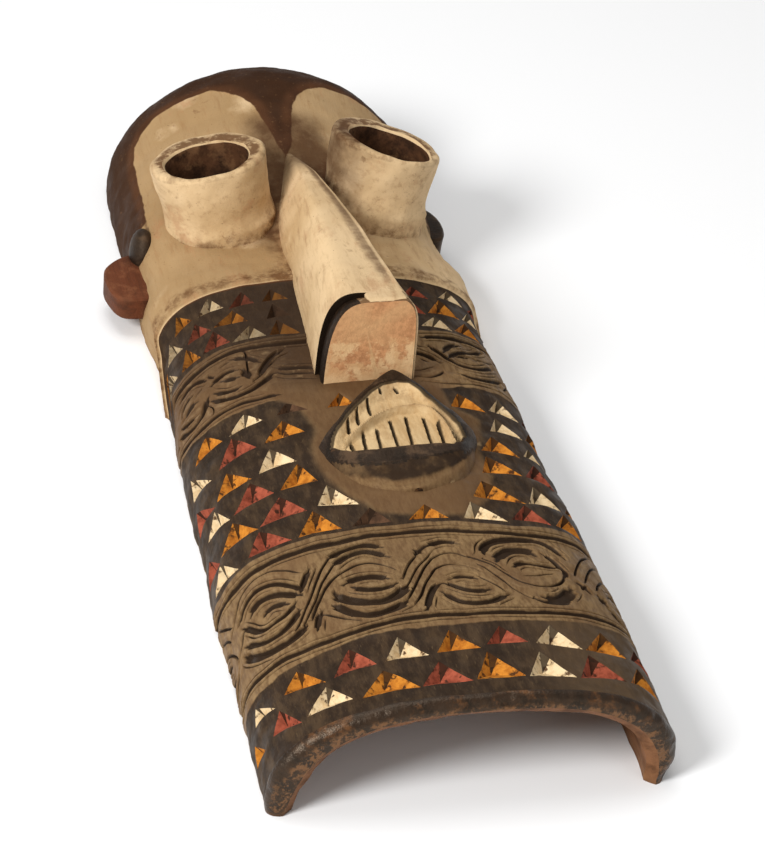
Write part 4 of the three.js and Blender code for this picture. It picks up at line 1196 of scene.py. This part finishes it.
def head_fields(spots):
    """Umber, stain with painted shade between the eyes and beside the nose, lift of the relief and soft
    painted shade of the head at (across, along) places.
    """
    across, station = spots.T
    patch = signed_distance(np.stack([-np.abs(across - 1.0), station], -1), EYE_PATCH)
    below = station < 560
    umber = np.where(below & (patch < 0), np.clip((station - 548) / 10, -1, 0), -patch / 10)
    umber = np.where(below & (np.abs(across) < 100), -1.0, umber)
    umber = np.clip(umber, -1, 1)
    near_nose = np.exp(-(((np.abs(across - 3) - 26) / 12) ** 2)) * smooth((600 - station) / 30)
    between = np.exp(-(((across - 5) / 29) ** 4))
    between *= smooth((station - 530) / 30) * smooth((645 - station) / 30)
    # A stain band above the cheek line, and painted shade between the eyes and beside the nose
    stain = 0.6 * np.exp(-(((station - CHEEK_LINE - 7) / 8) ** 2)) + 0.3 * near_nose + 0.2 * between
    shade = np.clip(between + 0.9 * near_nose * smooth((station - 480) / 40), 0, 1)
    lift = 0.8 * smooth(umber * 2.5 + 0.5) - 0.8
    return umber, stain, lift, shade


def hollow():
    """The space behind the face."""
    builder = Builder()
    end = LENGTH - HEAD_END_WALL
    turn = np.linspace(-1, 1, 61)
    rows = []
    stations = [(-OVERCUT, HOLLOW_ROUNDING)]
    for angle in np.linspace(0, np.pi / 2, 5):
        stations.append((HOLLOW_ROUNDING * math.sin(angle), HOLLOW_ROUNDING * (1 - math.sin(angle))))
    stations += [(y, 0) for y in np.arange(14, DOME_START, 8)]
    dome = end - DOME_START
    stations += [(DOME_START + dome * math.sin(s * np.pi / 2), 0) for s in np.linspace(0, 0.97, 16)]
    for y, flare in stations:
        shrink = dome_shrink(y, DOME_START, end)
        wall = along(y, SIDE_WALL)
        left = (along(y, LEFT_HALF_WIDTH) - wall + flare) * shrink
        right = (along(y, RIGHT_HALF_WIDTH) - wall + flare) * shrink
        height = (along(y, CROWN_HEIGHT) - CROWN_WALL + flare) * shrink
        x, z = section(left, right, height, along(y, ROUNDNESS), turn)
        thinning = (wall - BACK_EDGE_WALL) * np.clip(1 - z / CURL_HEIGHT, 0, 1) ** 2
        x = curl(x + np.sign(x) * thinning, z)
        point = np.stack([x, np.full(len(x), float(y)), z], -1)
        centre = np.array([0, y, 10.0])
        inward = centre - point
        inward /= np.linalg.norm(inward, axis=1, keepdims=True) + 1e-9
        gouge = 0.5 + 0.5 * wobble(point, 26, 21) + 0.25 * wobble(point, 11, 22)
        if y > 0:
            point = point + inward * np.clip(gouge, 0, 2)[:, None]
        point[:, 1] = y
        point[[0, -1], 2] = 0
        foot = point[[0, -1]].copy()
        foot[:, 2] = -OVERCUT
        rows.append(builder.add(np.vstack([foot[:1], point, foot[1:]])))
    builder.sheet(np.array(rows), BARE, closed=True)
    builder.cap(rows[0], BARE, True)
    builder.cap(rows[-1], BARE)
    return builder


# Eyes, nose, mouth and ears

def turned(eye, profile, seed, kinds):
    """A closed turned solid on an eye's axis, from (radius, height, stain) steps.

    Height 0 is the rim, which is cut askew.
    """
    builder = Builder()
    axis = np.array([eye["side"] * math.tan(EYE_LEAN_OUT), math.tan(EYE_LEAN_BACK), 1.0])
    axis /= np.linalg.norm(axis)
    u = np.cross([0, 1.0, 0], axis)
    u /= np.linalg.norm(u)
    v = np.cross(axis, u)
    origin = np.array([eye["side"] * eye["spread"], eye["along"], eye["height"]], float)
    angle = np.arange(EYE_SIDES) / EYE_SIDES * 2 * np.pi
    around = np.cos(angle)[:, None] * u + np.sin(angle)[:, None] * v
    rng = np.random.default_rng(seed)
    across, back = eye["askew"]
    askew = 2.5 + (across * np.cos(angle) + back * np.sin(angle)) * eye["radius"]
    # Painted shade, with some dirt, on the tube's side towards the nose
    shade = eye["shaded"] * np.clip(-1.5 * np.cos(angle) - 0.45, 0, 1) * (kinds[0] == KAOLIN)
    rows = []
    for radius, height, stain in profile:
        height = height + askew * np.clip((height + 45) / 45, 0, 1)
        point = origin + around * radius + axis * height[:, None]
        push = np.minimum(0.45 * wobble(point, 40, seed) + 0.2 * wobble(point, 13, seed + 1), 0.6)
        sink = np.minimum(0.3 * wobble(point, 20, seed + 2) - 0.3, 0)
        point = point + around * push[:, None] + axis * sink[:, None]
        point += rng.uniform(-JITTER, JITTER, point.shape)
        # Painted shade, growing deeper into the bore
        deep = np.clip(-(height + 4) / 30, 0, 0.95) * (kinds[0] == BORE)
        rows.append(builder.add(point, stain=stain + 0.2 * shade, taupe=shade, umber=-1.0, groove=deep))
    for k in range(len(rows) - 1):
        builder.sheet(np.array(rows[k : k + 2]), kinds[min(k, len(kinds) - 1)], closed=True)
    builder.cap(rows[0], kinds[0], True, stain=0.3, umber=-1.0)
    builder.cap(rows[-1], kinds[-1], stain=0.3, umber=-1.0)
    return builder


def eye_tube(eye, seed):
    r = eye["radius"]
    profile = [(r - 0.5, -62, 0.2), (r - 1.2, -50, 0.3)]
    for height in np.linspace(-44, -5, 22):
        radius = r - 3.5 + 3.5 * np.clip((height + 38) / 35, 0, 1)
        foot = 3.0 * np.clip(-(height + 30) / 12, 0, 1) ** 2
        profile.append((radius + foot, height, 0.25 * np.clip(-(height + 28) / 12, 0, 1)))
    for angle in np.linspace(0, np.pi / 2, 6):
        profile.append((r - 3 + 3 * math.cos(angle), -3 + 3 * math.sin(angle), 0.35))
    profile.append((r - 7, 0, 0.9))
    return turned(eye, profile, seed, [KAOLIN])


def eye_bore(eye, seed):
    bore = eye["radius"] - eye["wall"]
    steps = (
        (-4, -92), (-2.5, -50), (-2, -30), (-1, -14), (-0.3, -6),
        (0.2, -3), (0.8, -1), (1.9, 0.3), (4, 2.5),
    )
    eye = {**eye, "along": eye["along"] - BORE_FORWARD, "spread": eye["spread"] + BORE_OUTWARD}
    return turned(eye, [(bore + wider, height, 0) for wider, height in steps], seed, [BORE] * 6 + [KAOLIN])


def crown_at(y):
    return along(y, CROWN_HEIGHT) * dome_shrink(y, DOME_START, LENGTH)


def ridge_ring(y, middle, bases, tops, top, roundness, turn):
    """Ring across a ridge on the face; bases and tops are its half widths to the left and right."""
    base = crown_at(y) - RIDGE_SINK
    side, rise = section(1, 1, 1, roundness, turn)
    half = np.where(turn < 0, bases[0] + (tops[0] - bases[0]) * rise, bases[1] + (tops[1] - bases[1]) * rise)
    return np.stack([middle + side * half, np.full(len(turn), float(y)), base + (top - base) * rise], -1)


def loft(rings, kind, front=None, **fields):
    """A closed solid through rings; front is the kind of its first end."""
    builder = Builder()
    rng = np.random.default_rng(len(rings))
    rows = []
    for ring in rings:
        moved = ring + rng.uniform(-JITTER, JITTER, ring.shape) * (1, 0, 1)
        rows.append(builder.add(moved, **fields))
    builder.sheet(np.array(rows), kind, closed=True)
    front = kind if front is None else front
    builder.cap(rows[0], front, front is not kind, **fields)
    builder.cap(rows[-1], kind, **fields)
    return builder


def nose_ring(y):
    """Ring of the nose: a rounded left side, and on the right a flat top that ends in a crisp edge."""
    turn = np.linspace(-1, 0, 34)
    left = ridge_ring(
        y, NOSE_MIDDLE, (along(y, NOSE_BASE_LEFT), 1), (along(y, NOSE_TOP_LEFT), 1), along(y, NOSE_HEIGHT),
        along(y, NOSE_LEFT_ROUNDNESS), turn,
    )
    base, top = crown_at(y) - RIDGE_SINK, along(y, NOSE_HEIGHT)
    edge, foot = along(y, NOSE_TOP_RIGHT), along(y, NOSE_BASE_RIGHT)
    corner = [(edge * t, top - 0.9 * t**3) for t in (0.15, 0.3, 0.45, 0.6, 0.72, 0.82, 0.9)]
    corner += [(edge - 0.45, top - 0.75), (edge - 0.1, top - 1.0), (edge + 0.1, top - 1.5)]
    belly = along(y, ((330, 14), (360, 6), (400, 2), (460, 1)))
    for share in (0.012, 0.028, 0.05, 0.08, 0.12, 0.18, 0.26, 0.35, 0.45, 0.56, 0.67, 0.78, 0.9, 1):
        out = 1 - (1 - share) ** belly
        corner.append((edge + (foot - edge) * out + 0.1, top - 1.5 + (base - top + 1.5) * share))
    corner = np.array(corner)
    right = np.stack([NOSE_MIDDLE + corner[:, 0], np.full(len(corner), float(y)), corner[:, 1]], -1)
    return np.vstack([left, right])


def nose_ridge():
    """The nose behind its flat end, with a dirty strip along its right edge."""
    rings = []
    for y in np.linspace(NOSE_TIP + NOSTRIL_DEPTH, NOSE_ROOT, 80):
        ring = nose_ring(y)
        ring[:, 2] += np.minimum(0.4 * wobble(ring, 45, 31) - 0.5, 0)
        rings.append(ring)
    dirt_and_shade = np.zeros(len(rings[0]))
    strip = np.zeros(len(rings[0]))
    strip[35:41] = (0.15, 0.5, 0.85, 1.0, 1.0, 0.5)
    # Dirt and painted shade down the right flank, strongest just below the crisp edge
    dirt_and_shade[46:58] = np.linspace(0.5, 0.1, 12)
    # Groove 1 paints shade on the black cap at the back of the nostril
    nose = loft(rings, KAOLIN, BLACK, umber=-1.0, groove=1.0)
    station = np.array([ring[0, 1] for ring in rings])
    stretch = along(station, ((342, 0.3), (370, 0.8), (540, 0.9), (580, 0.5)))
    # Painted shade towards the nose's root
    root = 0.75 * smooth((station - 535) / 40)
    for name, values, ends in (
        ("stain", np.outer(stretch, dirt_and_shade), (0, 0)),
        ("taupe", np.outer(root, np.ones(len(dirt_and_shade))), (0, 0.75)),
        ("groove", 1 + np.outer(stretch, strip), (1, 1)),
    ):
        nose.fields[name] = [np.r_[values.ravel(), ends]]
    return nose


def nose_end():
    """The flat end of the nose."""
    facet = []
    for y in np.linspace(NOSE_TIP, NOSE_TIP + NOSTRIL_DEPTH + 1, 9):
        ease = 1.6 * (1 - np.clip((y - NOSE_TIP) / 4, 0, 1)) ** 2
        half = FACET_HALF - ease - (y - NOSE_TIP) * 0.1
        top = FACET_TOP - ease - (y - NOSE_TIP) * 0.45
        left = ridge_ring(y, NOSE_MIDDLE, (half, half), (half, half), top, 3.2, np.linspace(-1, 0, 34))
        right = nose_ring(y)[34:] - (1.0 + ease, 0, 0)
        right[:, 2] = np.minimum(right[:, 2], top)
        facet.append(np.vstack([left, right]))
    # Groove 1 paints shade on the black nostril faces, black paint taken nearly to black
    tip = loft(facet, BLACK, FACET, groove=1.0)
    side = {n + k * len(facet[0]) for k in range(len(facet)) for n in range(30, len(facet[0]))}
    tip.kinds = [KAOLIN if k == BLACK and side.issuperset(f) else k for k, f in zip(tip.kinds, tip.faces)]
    tip.fields["stain"] = [np.clip((np.vstack(tip.points)[:, 2] - 62) / 50, 0, 1)]
    tip.fields["umber"] = [np.full(tip.count, -1.0)]
    return tip


def nose_bridge():
    """The right wall behind the flat end."""
    bridge = []
    rise = np.linspace(0, 1, 20)[:-1, None]
    for y in np.linspace(NOSE_TIP + 0.6, NOSE_TIP + 2 * NOSTRIL_DEPTH, 14):
        ease = 1.2 * (1 - np.clip((y - NOSE_TIP - 0.6) / 3, 0, 1)) ** 2
        right = nose_ring(y)[34:] - (0.3 + ease, 0, 0.7 + ease)
        foot = np.array([[NOSE_MIDDLE + 4.0, y, right[-1, 2]]])
        head = np.array([[NOSE_MIDDLE - 3.5, y, right[0, 2] - 1.5]])
        bridge.append(np.vstack([foot + (head - foot) * rise, head, head + (1.0, 0, 1.2), right]))
    return loft(bridge, KAOLIN, umber=-1.0, groove=1.0, stain=0.1)


def mouth_half(y):
    below = np.clip((MOUTH_CORNER - y) / (MOUTH_CORNER - MOUTH_BOTTOM), 0, 1)
    above = np.clip((y - MOUTH_CORNER) / (MOUTH_TOP - MOUTH_CORNER), 0, 1)
    return MOUTH_HALF_WIDTH * np.where(y < MOUTH_CORNER, np.sqrt(1 - below**2), (1 - above) ** 0.65)


def mouth_rings():
    """Rings across the plain block of the lips; one runs along the back of the lower lip."""
    stations = MOUTH_CORNER - (MOUTH_CORNER - MOUTH_BOTTOM) * np.cos(np.linspace(0, np.pi / 2, 48)) * 0.997
    upper = MOUTH_CORNER + (MOUTH_TOP - MOUTH_CORNER) * np.sin(np.linspace(0, 0.985, 78)[1:] * np.pi / 2)
    side = np.r_[-1, -0.998, -0.993, np.linspace(-0.985, 0.985, 111), 0.993, 0.998, 1]
    stations = np.r_[stations, upper]
    lip_row = int(np.argmin(np.abs(stations - LIP_BACK_MIDDLE)))
    rings = []
    for station in stations:
        half = float(mouth_half(station))
        across = along(station, MOUTH_MIDDLE) + side * half
        pull = along(station, ((200, 0), (stations[lip_row], 1), (300, 0)))
        y = station + pull * (along(across, LIP_BACK) - stations[lip_row])
        roundness = along(y, MOUTH_ROUNDNESS)
        rise = np.maximum(1 - np.abs(side) ** roundness, 0) ** (1 / roundness)
        half = half + 2 - (half * 0.05 + 2) * rise
        base = crown_at(y) - RIDGE_SINK
        top = crown_at(y) + along(y, MOUTH_RISE)
        rings.append(np.stack([along(y, MOUTH_MIDDLE) + side * half, y, base + (top - base) * rise], -1))
    return np.array(rings), side, lip_row


def carve_mouth(grid, side, lip_row):
    """Carves the teeth and the lips into the rings; returns the darkening of the cuts and the lips, and the
    wear of their points.
    """
    flat = grid[..., :2].reshape(-1, 2)
    in_teeth, in_lip = signed_distance(flat, TEETH_OUTLINE), signed_distance(flat, LIP_INNER_EDGE)
    slope = np.where(in_teeth > 0, 1, np.clip(in_lip / (in_lip - in_teeth + 1e-6), 0, 1) * (in_lip > 0))
    dip = -TEETH_SUNK * smooth(slope)
    ridge_gap, _, _ = distance_to_path(flat, curve_through(TOOTH_RIDGE, 1.5))
    cut = np.zeros(len(flat))
    for line in TOOTH_CUTS:
        gap, _, _ = distance_to_path(flat, np.array(line, float).reshape(2, 2))
        cut = np.maximum(cut, np.clip(1 - gap / 1.15, 0, 1))
    toothed = in_teeth > 0.3
    below = flat[:, 1] < along(flat[:, 0], np.array(TOOTH_RIDGE).reshape(-1, 2)[:7])
    dip += np.where(toothed, 4.0 * np.exp(-((ridge_gap / 2.1) ** 2)), 0)
    dip -= np.where(in_lip > 1.5, 3.2 * cut, 0) + np.where(toothed & below, 2.0, 0) * smooth(ridge_gap / 3)
    front = flat[:, 1] - along(flat[:, 0], LIP_FRONT)
    foot = flat[:, 1] - along(flat[:, 0], LIP_FOOT)
    dip += 0.7 * np.exp(-((front / 1.6) ** 2)) - 1.2 * np.exp(-((foot / 2.2) ** 2))
    dip += np.minimum(0.35 * wobble(grid.reshape(-1, 3), 16, 71) - 0.3, 0)
    wall = np.clip(1 - np.abs(side) ** 12, 0, 1)
    grid[..., 2] += dip.reshape(grid.shape[:2]) * wall
    groove = np.where(in_lip > 1.5, cut * 1.2, 0)
    lower = np.clip(foot / np.maximum(foot - front, 1), 0, 1) * (front < 0)
    groove = np.maximum(groove, np.maximum(0.85 * lower**0.7, 0.72 * np.clip(lower * 5, 0, 1)))
    shown = (in_lip > -3) & (np.repeat(np.arange(len(grid)), len(side)) >= lip_row)
    groove = np.maximum(groove, np.clip((1.9 - in_lip) / 1.2, 0, 1) * shown)
    wear = np.where(in_teeth > 0, 0.0, np.where(in_lip > 0, 0.3, np.where(front < 0, 0.5, 0.0)))
    return groove, wear


def mouth():
    """Raised block of both lips, with the sunk double row of teeth."""
    grid, side, lip_row = mouth_rings()
    groove, wear = carve_mouth(grid, side, lip_row)
    builder = Builder()
    numbers = builder.add(grid, groove=groove, stain=wear, taupe=1.0).reshape(grid.shape[:2])
    cells = grid[..., :2]
    middle = (cells[:-1, :-1] + cells[1:, :-1] + cells[:-1, 1:] + cells[1:, 1:]) / 4
    flat = middle.reshape(-1, 2)
    kinds = np.full(len(flat), BLACK)
    kinds[flat[:, 1] < along(flat[:, 0], LIP_FRONT) - 1.8] = CARVED
    kinds = kinds.reshape(middle.shape[:2])
    gape = (signed_distance(flat, LIP_INNER_EDGE) > -1.0).reshape(kinds.shape)
    gape[:lip_row] = False
    kinds[gape] = TEETH
    for row in range(len(grid) - 1):
        for column in range(len(side) - 1):
            a, b = numbers[row, column], numbers[row, column + 1]
            c, d = numbers[row + 1, column + 1], numbers[row + 1, column]
            builder.face([(a, b, c, d)], int(kinds[row, column]))
        builder.face([(numbers[row, -1], numbers[row, 0], numbers[row + 1, 0], numbers[row + 1, -1])], BLACK)
    builder.face([numbers[0], numbers[-1][::-1]], BLACK)
    return builder


def lump(place, radii, kind):
    """A rounded knob."""
    rings = []
    around = np.linspace(0, 2 * np.pi, 28, endpoint=False)
    for angle in np.linspace(0.04, np.pi - 0.04, 16):
        out = math.sin(angle)
        ball = np.stack([out * np.cos(around), out * np.sin(around), np.full(28, -math.cos(angle))], -1)
        rings.append(ball * np.array(radii, float) + np.array(place, float))
    return loft(rings, kind)


def ear(spec, kind, seed):
    half = (spec["to"] - spec["from"]) / 2
    middle = (spec["to"] + spec["from"]) / 2
    reach = abs(spec["outer"]) - abs(spec["inner"])
    side = math.copysign(1, spec["outer"])
    rings = []
    for height, inset in ((0, 3), (0.6, 1.2), (2, 0), (7, 0), (12, 0), (15.2, 0), (16.6, 1.2), (17, 3)):
        outline = [(-3.0, -half + inset)]
        for k in range(33):
            angle = (k / 32 - 0.5) * np.pi
            power = 0.2 if angle < 0 else 0.55
            out = max(0.01, (reach - inset) * math.cos(angle) ** power)
            outline.append((out, (half - inset) * math.sin(angle)))
        outline.append((-3.0, half - inset))
        out, back = np.array(outline).T
        level = np.full(len(out), spec["low"] + height)
        ring = np.stack([side * (abs(spec["inner"]) + out), middle + back, level], -1)
        ring[:, 0] += side * np.minimum(0.5 * wobble(ring, 25, seed) - 0.5, -0.1)
        rings.append(ring)
    return loft(rings, kind)


# The piece
body = trunk().object("mask_carving")
tubes = [eye_tube(eye, 40 + number) for number, eye in enumerate(EYES)]
bores = [eye_bore(eye, 50 + number) for number, eye in enumerate(EYES)]
ears = [ear(EARS[0], EAR, 61), ear(EARS[1], BLACK, 62)]
nose = [nose_ridge(), nose_end(), nose_bridge()]
for part in (*tubes, *nose, mouth(), *ears, lump(KNOB_PLACE, KNOB_RADII, BLACK)):
    combine(body, part.object("part"), "UNION")
for part in (hollow(), *bores):
    combine(body, part.object("part"), "DIFFERENCE")

mesh = body.data
mesh.shade_smooth()
mesh.set_sharp_from_angle(angle=math.radians(32))
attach(body, "root")
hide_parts("mask")

# Floor, light and camera
bpy.ops.mesh.primitive_plane_add(size=30)
floor = bpy.context.object
floor.name = "floor"
paper = bpy.data.materials.new("floor_paper")
paper.use_nodes = True
paper.node_tree.nodes["Principled BSDF"].inputs["Base Color"].default_value = (0.9, 0.9, 0.9, 1)
paper.node_tree.nodes["Principled BSDF"].inputs["Roughness"].default_value = 0.9
floor.data.materials.append(paper)


def area_light(name, place, target, size, power):
    data = bpy.data.lights.new(name, "AREA")
    data.shape = "DISK"
    data.size = size
    data.energy = power
    lamp = bpy.data.objects.new(name, data)
    lamp.location = place
    lamp.rotation_mode = "QUATERNION"
    lamp.rotation_quaternion = (Vector(target) - Vector(place)).to_track_quat("-Z", "Y")
    bpy.context.scene.collection.objects.link(lamp)


area_light("key", (-1.9, -1.3, 1.7), (0, 0, 0.05), 1.0, 74)
area_light("fill", (1.4, -2.2, 1.2), (0, 0, 0.05), 1.6, 8)
area_light("top", (-0.3, 0.6, 2.8), (0, 0, 0.05), 2.0, 30)
world = bpy.data.worlds.new("studio")
world.use_nodes = True
world.node_tree.nodes["Background"].inputs["Color"].default_value = (1, 1, 1, 1)
world.node_tree.nodes["Background"].inputs["Strength"].default_value = 0.38
bpy.context.scene.world = world

AZIMUTH, ELEVATION, ROLL = math.radians(15.10), math.radians(33.69), math.radians(5.0)
LENS_PIXELS = 3605.0
UNIT = 120.0
CAMERA_PLACE = np.array([-3.944, -12.314, 10.635])
SENSOR = 36.0
PICTURE_HEIGHT = 850.0
ahead = np.array([
    math.sin(AZIMUTH) * math.cos(ELEVATION), math.cos(AZIMUTH) * math.cos(ELEVATION), -math.sin(ELEVATION),
])
right = np.array([math.cos(AZIMUTH), -math.sin(AZIMUTH), 0.0])
up = np.cross(right, ahead)
axis_x = math.cos(ROLL) * right + math.sin(ROLL) * up
axis_y = -math.sin(ROLL) * right + math.cos(ROLL) * up
lens = bpy.data.cameras.new("camera")
lens.sensor_width = SENSOR
lens.lens = LENS_PIXELS * SENSOR / PICTURE_HEIGHT
lens.clip_end = 100
camera = bpy.data.objects.new("camera", lens)
matrix = Matrix.Identity(4)
for column, vector in enumerate((axis_x, axis_y, -ahead, (CAMERA_PLACE * UNIT + SHIFT) * 0.001)):
    for row in range(3):
        matrix[row][column] = vector[row]
camera.matrix_world = matrix
bpy.context.scene.collection.objects.link(camera)
bpy.context.scene.camera = camera
bpy.context.scene.view_settings.view_transform = "Standard"
